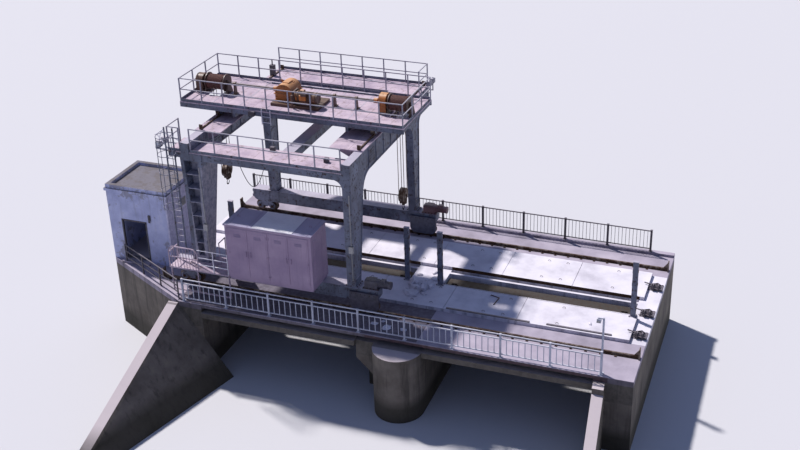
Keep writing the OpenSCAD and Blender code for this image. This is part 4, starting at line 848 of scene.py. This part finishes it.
class SLUICE_OT_cabin_fittings(bpy.types.Operator):
    """Door panels, hinges, handles, louvres, a pale roof sheet of painted sunlight and conduits of the
    switch cabin.
    """
    bl_idname = "sluice.cabin_fittings"
    bl_label = "Cabin fittings"

    def execute(self, context):
        (x0, x1), (y0, y1), top = CABIN_X, CABIN_Y, CABIN_TOP
        face, doors = y0 - 0.018, 4
        wide = (x1 - x0 - 0.2) / doors
        iron, panels = [], []
        for i in range(doors):
            left = x0 + 0.1 + i * wide
            right = left + wide
            # Doors hang in pairs, hinges outside and handles inside
            hinge, grip = (left + 0.05, right - 0.1) if i % 2 == 0 else (right - 0.05, left + 0.1)
            for z in (5.05, 5.95, 6.85):
                iron.append(disc((hinge, face - 0.012, z - 0.06), UP, 0.12, 0.014, 10, 0.002))
            iron.append(slab((grip - 0.015, face - 0.045, 5.85), (grip + 0.015, face, 6.1)))
            louvre = slab((left + 0.3, face - 0.014, 6.7), (right - 0.3, face + 0.002, 6.722), 0.004)
            panels.append(row(louvre, 4, (0, 0, 0.04)))
            panel = slab((left + 0.09, face - 0.006, 4.97), (right - 0.09, face + 0.002, 6.98), 0.003)
            panels.append(inset(panel, FRONT, 0.04, 0.005))
        rib = slab((x0 + 0.15, y0 - 0.05, top), (x0 + 0.18, y1 + 0.03, top + 0.012), 0.002)
        panels.append(row(rib, 5, ((x1 - x0 - 0.33) / 4, 0, 0)))
        for x in (x0 + 0.3, x1 - 0.3):
            iron.append(ring((x, (y0 + y1) / 2, top + 0.045), (0, 1, 0), 0.05, 0.012, 18, 8))
        pipes = [disc((x1 - dx, y1 + 0.06, 4.72), UP, 2.38, 0.03, 12) for dx in (0.5, 0.8)]
        # Pale sheet over the middle of the roof and down its front edge: painted sunlight
        painted_sunlight_sheet = slabs(
            0.002,
            (-5.95, y0 - 0.045, top + 0.012, -4.15, y1 + 0.025, top + 0.02),
            (-5.95, y0 - 0.053, top - 0.07, -4.15, y0 - 0.045, top + 0.02))
        finished(painted_sunlight_sheet, "cabin_roof_painted_sunlight", "gantry", "white")
        finished(panels, "cabin_panels", "gantry", "cabin")
        finished(iron, "cabin_ironwork", "gantry", "cabin")
        finished(pipes, "cabin_conduits", "gantry", "zinc")
        return {"FINISHED"}


class SLUICE_OT_floodlights(bpy.types.Operator):
    """Glass and bezels of the floodlights."""
    bl_idname = "sluice.floodlights"
    bl_label = "Floodlights"

    def execute(self, context):
        lamps = (-3.63, -3.27)
        trim = slabs(0.004, *((-10.69, y - 0.012, 9.75, -10.51, y + 0.004, 9.985) for y in lamps))
        glass = slabs(0.002, *((-10.675, y - 0.016, 9.765, -10.525, y - 0.01, 9.97) for y in lamps))
        finished(trim, "gantry_lamp_bezels", "gantry", "zinc")
        finished(glass, "gantry_lamp_glass", "gantry", "glass")
        bezel = slab((8.445, -5.065, 5.715), (8.595, -5.05, 5.8), 0.003)
        pane = slab((8.45, -5.0, 5.704), (8.59, -4.9, 5.712), 0.002)
        finished([bezel], "post_lamp_bezel", "root", "zinc")
        finished([pane], "post_lamp_glass", "root", "glass")
        return {"FINISHED"}


class SLUICE_OT_slab_fittings(bpy.types.Operator):
    """Lifting loops on the cover slabs and steel angles round the slots."""
    bl_idname = "sluice.slab_fittings"
    bl_label = "Slab fittings"

    def execute(self, context):
        loops, pitch = [], 3.15
        for y, last, count in ((-2.3, 4.9, 5), (-1.05, 4.9, 5), (1.15, 6.5, 6), (2.6, 6.5, 6)):
            for x, number in ((last + 1.4, count), (last - 0.9, count - 1)):
                loop = ring((x, y, COVER_Z), (0, 1, 0), 0.06, 0.009, 16, 6)
                loops.append(row(loop, number, (-pitch, 0, 0)))
        finished(loops, "slab_lifting_loops", "root", "rust")
        angles = slabs(0.001, *(
            (x, y, DECK_Z, x + 8.4, y + 0.007, COVER_Z + 0.006)
            for x in (-9.15, 0.75) for y in (-0.757, 0.783)))
        finished(angles, "slot_edge_angles", "root", "rust")
        return {"FINISHED"}


class SLUICE_OT_rail_clips(bpy.types.Operator):
    """Clips and bolts that hold the crane rails to the deck."""
    bl_idname = "sluice.rail_clips"
    bl_label = "Rail clips"

    def execute(self, context):
        pitch = context.scene.sluice_sizes.clip_pitch
        x, z = -10.8, DECK_Z + 0.03
        for name, rail in zip(("front", "rear"), RAIL_Y):
            clips = []
            for s in SIDES:
                y = rail + s * 0.105
                clip = pad(x, y, DECK_Z, 0.1, 0.09, 0.03, 0.005)
                head = bolt((x, y + s * 0.02, z), UP, 0.022, 0.03)
                clips.append(row(joined([clip, head]), int(20.6 / pitch), (pitch, 0, 0)))
            finished(clips, name + "_rail_clips", "root", "rust")
        return {"FINISHED"}


class SLUICE_OT_railing_feet(bpy.types.Operator):
    """Base plates, bolts and post caps of the deck railings."""
    bl_idname = "sluice.railing_feet"
    bl_label = "Railing feet"

    def execute(self, context):
        pitch = (2.0, 0, 0)
        x, y, z = -9.3, -5.05, DECK_Z + 0.012
        parts = [pad(x, y, DECK_Z, 0.16, 0.16, 0.012, 0.003), pad(x, y, 4.465, 0.09, 0.09, 0.015)]
        parts += [bolt((x + s * 0.058, y + t * 0.055, z), UP, 0.018, 0.016) for s in SIDES for t in SIDES]
        front = row(joined(parts), 10, pitch)
        finished([front], "front_railing_feet", "root", "railing")
        x, y = -11.1, 4.9
        foot = pad(x, y, DECK_Z + 0.12, 0.16, 0.16, 0.012, 0.003)
        rear = row(joined([foot, pad(x, y, 4.585, 0.11, 0.11, 0.025, 0.008)]), 11, pitch)
        finished([rear], "rear_railing_feet", "root", "dark_rail")
        return {"FINISHED"}


class SLUICE_OT_house_fittings(bpy.types.Operator):
    """Door frame, step, vent, lamp, downpipe and coping joints of the control building."""
    bl_idname = "sluice.house_fittings"
    bl_label = "House fittings"

    def execute(self, context):
        y, top = HOUSE_FRONT, 5.475
        door = slabs(
            0.004,
            (-13.585, y - 0.02, 3.5, -13.52, y + 0.07, top),
            (-12.39, y - 0.02, 3.5, -12.325, y + 0.07, top),
            (-13.585, y - 0.02, top - 0.065, -12.325, y + 0.07, top))
        finished(door, "door_frame", "root", "dark_rail")
        step = slab((-13.65, y - 0.32, DECK_Z), (-12.26, y + 0.02, DECK_Z + 0.1), 0.012)
        finished([step], "door_step", "root", "walk")
        lamp = [
            slab((-12.2, y - 0.05, 5.6), (-12.08, y + 0.002, 5.85), 0.01),
            slab((-12.19, y - 0.055, 5.49), (-12.09, y - 0.045, 5.6), 0.003),
        ]
        x = HOUSE_SIDE
        slat = slab((x + 0.02, -1.66, 5.94), (x + 0.05, -1.24, 5.955), 0.002)
        vent = [slab((x - 0.002, -1.7, 5.9), (x + 0.035, -1.2, 6.25), 0.004), row(slat, 7, (0, 0, 0.042))]
        strap = ring((x + 0.045, -0.45, 3.9), UP, 0.046, 0.012, 18, 6)
        pipe = [
            disc((x + 0.045, -0.45, DECK_Z), UP, 3.38, 0.04, 14),
            row(strap, 4, (0, 0, 0.85)),
            slab((x - 0.002, -0.55, 6.6), (x + 0.055, -0.35, 6.78), 0.01),
        ]
        finished(vent, "wall_vent", "root", "zinc")
        finished(pipe, "downpipe", "root", "zinc")
        finished(lamp, "door_lamp", "root", "dark_rail")
        coping = slabs(0.001, *(
            (x, y, 7.095, x + 0.012, y + 0.18, 7.104)
            for x in (-13.2, -12.2) for y in (HOUSE_FRONT - 0.006, HOUSE_BACK - 0.174)))
        finished(coping, "coping_joints", "root", "felt")
        return {"FINISHED"}


class SLUICE_OT_gate_fittings(bpy.types.Operator):
    """Rubber seals, clamp bars and bolts of the gate leaves."""
    bl_idname = "sluice.gate_fittings"
    bl_label = "Gate fittings"

    def execute(self, context):
        for side, (x0, x1) in GATE_X.items():
            seals = slabs(
                EDGE,
                (x0 + 0.02, 0.27, 0.44, x0 + 0.09, 0.3, 3.25),
                (x1 - 0.09, 0.27, 0.44, x1 - 0.02, 0.3, 3.25),
                (x0 + 0.3, 0.2, 0.385, x1 - 0.3, 0.25, 0.42))
            finished(seals, side + "_gate_seals", "gate_" + side, "rubber")
            parts = slabs(0.002, *(
                (x, 0.27, 0.45, x + 0.06, 0.282, 3.24) for x in (x0 + 0.1, x1 - 0.16)))
            for x in (x0 + 0.13, x1 - 0.13):
                parts.append(row(bolt((x, 0.282, 0.55), (0, 1, 0), 0.022, 0.016), 14, (0, 0, 0.2)))
            for z in (0.62, 3.08):
                parts.append(row(bolt((x0 + 0.35, -0.56, z), FRONT, 0.026, 0.018), 16, (0.5, 0, 0)))
            finished(parts, side + "_gate_bolts", "gate_" + side, "rust")
        return {"FINISHED"}


class SLUICE_OT_guide_fittings(bpy.types.Operator):
    """Bolts and bolted cleats of the gate guides."""
    bl_idname = "sluice.guide_fittings"
    bl_label = "Guide fittings"

    def execute(self, context):
        for i, x in enumerate(GUIDE_X):
            parts = [
                bolt((x + s * 0.14, y, COVER_Z + 0.02), UP, 0.026, 0.026)
                for s in SIDES for y in (-0.9, -0.71)]
            cleat = slab((x - 0.118, -0.86, 3.8), (x - 0.11, -0.74, 3.95), 0.002)
            parts.append(row(row(cleat, 2, (0.228, 0, 0)), 4, (0, 0, 0.6)))
            finished(parts, "guide_%d_bolts" % (i + 1), "root", "rust")
        return {"FINISHED"}


class SLUICE_OT_festoon_cable(bpy.types.Operator):
    """Supply cable that hangs in a loop under the front beam."""
    bl_idname = "sluice.festoon_cable"
    bl_label = "Festoon cable"

    def execute(self, context):
        x0, x1, y, z, sag, thick, count = -6.78, -5.72, -3.7, 9.452, 0.86, 0.028, 36
        points = []
        for i in range(count + 1):
            u = i / count
            points.append(Vector((x0 + (x1 - x0) * u, y, z - sag * math.sin(math.pi * u) ** 0.9)))
        curve = bpy.data.curves.new("festoon_cable", "CURVE")
        curve.dimensions = "3D"
        curve.bevel_depth = thick / 2
        curve.bevel_resolution = 2
        curve.use_fill_caps = True
        line = curve.splines.new("POLY")
        line.points.add(count)
        for point, place in zip(line.points, points):
            point.co = (*place, 1.0)
        cable = bpy.data.objects.new("festoon_cable", curve)
        bpy.context.collection.objects.link(cable)
        cable.data.materials.append(FINISH["rubber"])
        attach(cable, "gantry")
        clamps = [pad(x, y, 9.45, 0.08, 0.06, 0.012, 0.003) for x in (x0, x1)]
        finished(clamps, "festoon_clamps", "gantry", "rust")
        return {"FINISHED"}


class SLUICE_OT_access_ladders(bpy.types.Operator):
    """Caged ladder to the front platform, rails at its landing and the trolley's step ladder."""
    bl_idname = "sluice.access_ladders"
    bl_label = "Access ladders"

    def execute(self, context):
        pitch = context.scene.sluice_sizes.rung_pitch
        x0, x1, y = -10.02, -9.64, -3.9
        cage_x, cage_y, cage_z, reach = (x0 + x1) / 2, y - 0.3, 7.4, 0.37
        parts = [pad(x, y, 5.05, 0.04, 0.07, 5.8, 0.005) for x in (x0, x1)]
        parts.append(row(rod((x0, y, 5.25), (x1, y, 5.25), 0.015, 8), int(4.6 / pitch), (0, 0, pitch)))
        parts.append(row(ring((cage_x, cage_y, cage_z), UP, reach, 0.014, 24, 6), 5, (0, 0, 0.8)))
        parts += slabs(0.002, *(
            (x - 0.01, y, z, x + 0.01, -3.8, z + 0.04) for z in (9.5, 9.74) for x in (x0, x1)))
        for k in range(5):
            a = math.radians(198 + 36 * k)
            spot = (cage_x + reach * math.cos(a), cage_y + reach * math.sin(a), cage_z)
            parts.append(disc(spot, UP, 3.2, 0.013, 6))
        finished(parts, "platform_ladder", "gantry", "crane")

        x0, x1 = -6.9, -6.5
        steps = [pad(x, -1.35, 10.32, 0.03, 0.04, 0.68, 0.004) for x in (x0, x1)]
        steps += [pad(x, -1.325, 10.7, 0.03, 0.07, 0.04, 0.003) for x in (x0, x1)]
        steps.append(row(rod((x0, -1.35, 10.42), (x1, -1.35, 10.42), 0.014, 8), 2, (0, 0, 0.26)))
        finished(steps, "trolley_step_ladder", "trolley", "white")

        foot, head = SILL_Z + 0.06, 5.69
        rails = slabs(
            0.004,
            *((-8.71, -4.59, z, -7.28, -4.56, z + 0.03) for z in (4.98, 5.31, 5.66)),
            *((x, -4.6, foot, x + 0.035, -4.55, head) for x in (-8.0, -7.32)),
            *((-7.31, -4.56, z, -7.28, -3.95, z + 0.03) for z in (5.31, 5.66)),
            (-7.315, -3.98, foot, -7.275, -3.94, head))
        finished(rails, "landing_rails", "gantry", "white")
        return {"FINISHED"}


class SLUICE_OT_crane_services(bpy.types.Operator):
    """Conduits, switch and junction boxes of the crane, and the struts of its floodlights."""
    bl_idname = "sluice.crane_services"
    bl_label = "Crane services"

    def execute(self, context):
        switch = inset(slab((-7.5, -1.43, 10.66), (-7.22, -1.3, 10.86), 0.01), FRONT, 0.03, 0.008)
        finished([switch], "trolley_limit_switch", "trolley", "dark_rail")
        x, y, tall = -9.24, 4.29, 0.54
        box = inset(pad(x, y, WALK_Z, 0.24, 0.18, tall, 0.01), FRONT, 0.03, 0.008)
        stem = disc((x, y, WALK_Z + tall), UP, 0.28, 0.03, 10, 0.004)
        finished([box, stem], "rear_junction_box", "gantry", "dark_rail")
        y, right = -3.87, FRAME_X["right"] + 0.1
        runs = [
            rod((-8.52, y, 5.0), (-8.62, y, 9.2), 0.022, 10),
            rod((right, y, 5.0), (right, y, 8.9), 0.022, 10),
            rod((-9.2, -3.66, 9.44), (-2.4, -3.66, 9.44), 0.02, 10),
        ]
        for x in (-8.56, right):
            runs.append(inset(pad(x, -3.9, 6.3, 0.2, 0.1, 0.3, 0.01), FRONT, 0.02, 0.006))
        finished(runs, "crane_conduits", "gantry", "zinc")
        boxes = [pad(x, y, PLATFORM_Z, 0.2, 0.16, 0.2, 0.01) for x, y in ((-5.8, -2.66), (-3.24, -3.0))]
        finished(boxes, "platform_boxes", "gantry", "dark_rail")
        x, z = -10.66, 10.3
        struts = [
            rod((-9.98, -3.78, 9.8), (x, -3.5, z), 0.02, 8),
            rod((-9.98, -2.9, 9.8), (x, -3.2, z), 0.02, 8),
            rod((x, -3.55, 9.74), (x, -3.15, z), 0.016, 8),
            rod((x, -3.6, z), (x, -3.05, z), 0.02, 8),
        ]
        finished(struts, "lamp_struts", "gantry", "white")
        return {"FINISHED"}


class SLUICE_OT_latch_fittings(bpy.types.Operator):
    """Levers, pins and plates of the latches at the deck's right end, and a loose lifting bar."""
    bl_idname = "sluice.latch_fittings"
    bl_label = "Latch fittings"

    def execute(self, context):
        parts = []
        z = DECK_Z
        for y in (-1.9, -0.2, 1.99):
            pin = y - 0.24
            parts.append(pad(9.66, y - 0.03, z, 0.6, 0.54, 0.03))
            parts += [pad(x, pin, z, 0.05, 0.2, 0.3) for x in (9.575, 9.785)]
            parts.append(disc((9.42, pin, z + 0.16), ALONG, 0.48, 0.04, 12, EDGE))
            parts.append(rod((9.16, y - 0.1, z + 0.24), (9.86, pin, z + 0.2), 0.028, 10, 0.004))
            parts.append(ring((9.5, pin, z + 0.2), ALONG, 0.1, 0.022, 18, 8))
            for x in (9.4, 9.9):
                parts += [bolt((x, y + dy, z + 0.03), UP, 0.026, 0.024) for dy in (-0.26, 0.2)]
        finished(parts, "latch_levers", "root", "dark_rail")
        z = COVER_Z + 0.02
        bend = (3.5, -1.12, z)
        bar = [rod((3.1, -1.0, z), bend, 0.02, 8, 0.003), rod(bend, (3.42, -1.7, z), 0.02, 8, 0.003)]
        finished(bar, "lifting_bar", "root", "rust")
        return {"FINISHED"}


class SLUICE_OT_rubble(bpy.types.Operator):
    """Broken concrete between the guides and on the footway, and loose timbers beside the slabs."""
    bl_idname = "sluice.rubble"
    bl_label = "Rubble"

    def execute(self, context):
        lumps = []
        # Each lump's x, y, half width and half height
        spots = (
            (-0.3, -1.5, 0.34, 0.1), (0.15, -1.15, 0.26, 0.12), (0.35, -1.75, 0.2, 0.08),
            (-0.05, -0.45, 0.22, 0.09), (-0.35, -1.2, 0.42, 0.34), (-0.1, -1.55, 0.36, 0.28),
            (0.2, -1.4, 0.3, 0.3), (-0.2, -1.85, 0.5, 0.16), (0.45, -1.15, 0.24, 0.2),
            (0.3, -0.2, 0.3, 0.1), (-0.45, -0.05, 0.16, 0.07), (0.1, 0.3, 0.2, 0.08),
            (-0.9, -4.3, 0.22, 0.05), (-0.3, -4.45, 0.3, 0.06), (0.4, -4.4, 0.2, 0.05),
            (-0.6, -4.05, 0.12, 0.05), (7.6, -1.9, 0.14, 0.05),
        )
        for i, (x, y, wide, tall) in enumerate(spots):
            base = COVER_Z if -2.6 < y < -0.75 else DECK_Z
            fresh()
            bpy.ops.mesh.primitive_ico_sphere_add(subdivisions=2, radius=1, location=(0, 0, 0))
            lump = bpy.context.object
            for k, vertex in enumerate(lump.data.vertices):
                # Uneven but the same on every run
                vertex.co *= 0.78 + 0.22 * math.sin(k * 12.9898 + i * 4.1) * math.cos(k * 3.7 + i)
                vertex.co.z = max(-0.25, vertex.co.z)
            lump.scale = (wide, wide * 0.7, tall)
            lump.rotation_euler = (0, 0, i * 1.3)
            lump.location = (x, y, base + tall * 0.22)
            lumps.append(settle())
        finished(lumps, "broken_concrete", "root", "slabs", 20)
        planks = slabs(EDGE, *(
            (x0, y - 0.06, COVER_Z, x1, y + 0.03, COVER_Z + 0.04)
            for x0, x1, y in ((1.6, 5.2, -2.52), (5.9, 8.6, -2.46))))
        finished(planks, "loose_timbers", "root", "dark_rail")
        return {"FINISHED"}


class SLUICE_PT_panel(bpy.types.Panel):
    """Sizes, colours and steps of the sluice gate."""
    bl_label = "Sluice gate"
    bl_idname = "SLUICE_PT_panel"
    bl_space_type = "VIEW_3D"
    bl_region_type = "UI"
    bl_category = "Sluice"

    def draw(self, context):
        layout = self.layout
        for group in (context.scene.sluice_sizes, context.scene.sluice_look):
            box = layout.box()
            for key in group.__annotations__:
                box.prop(group, key)
        for step in STEPS:
            layout.operator(step.bl_idname)


STEPS = (
    SLUICE_OT_stage,
    SLUICE_OT_finishes,
    SLUICE_OT_hoist_ropes,
    SLUICE_OT_hooks,
    SLUICE_OT_hoist_fittings,
    SLUICE_OT_toe_boards,
    SLUICE_OT_frame_stiffeners,
    SLUICE_OT_travel_fittings,
    SLUICE_OT_cabin_fittings,
    SLUICE_OT_floodlights,
    SLUICE_OT_slab_fittings,
    SLUICE_OT_rail_clips,
    SLUICE_OT_railing_feet,
    SLUICE_OT_house_fittings,
    SLUICE_OT_gate_fittings,
    SLUICE_OT_guide_fittings,
    SLUICE_OT_festoon_cable,
    SLUICE_OT_access_ladders,
    SLUICE_OT_crane_services,
    SLUICE_OT_latch_fittings,
    SLUICE_OT_rubble,
)
CLASSES = (SluiceSizes, SluiceLook) + STEPS + (SLUICE_PT_panel,)


def register():
    for cls in CLASSES:
        bpy.utils.register_class(cls)
    bpy.types.Scene.sluice_sizes = bpy.props.PointerProperty(type=SluiceSizes)
    bpy.types.Scene.sluice_look = bpy.props.PointerProperty(type=SluiceLook)


def unregister():
    del bpy.types.Scene.sluice_look
    del bpy.types.Scene.sluice_sizes
    for cls in reversed(CLASSES):
        bpy.utils.unregister_class(cls)


def main():
    register()
    for step in STEPS:
        group, name = step.bl_idname.split(".")
        getattr(getattr(bpy.ops, group), name)()


if __name__ == "__main__":
    main()
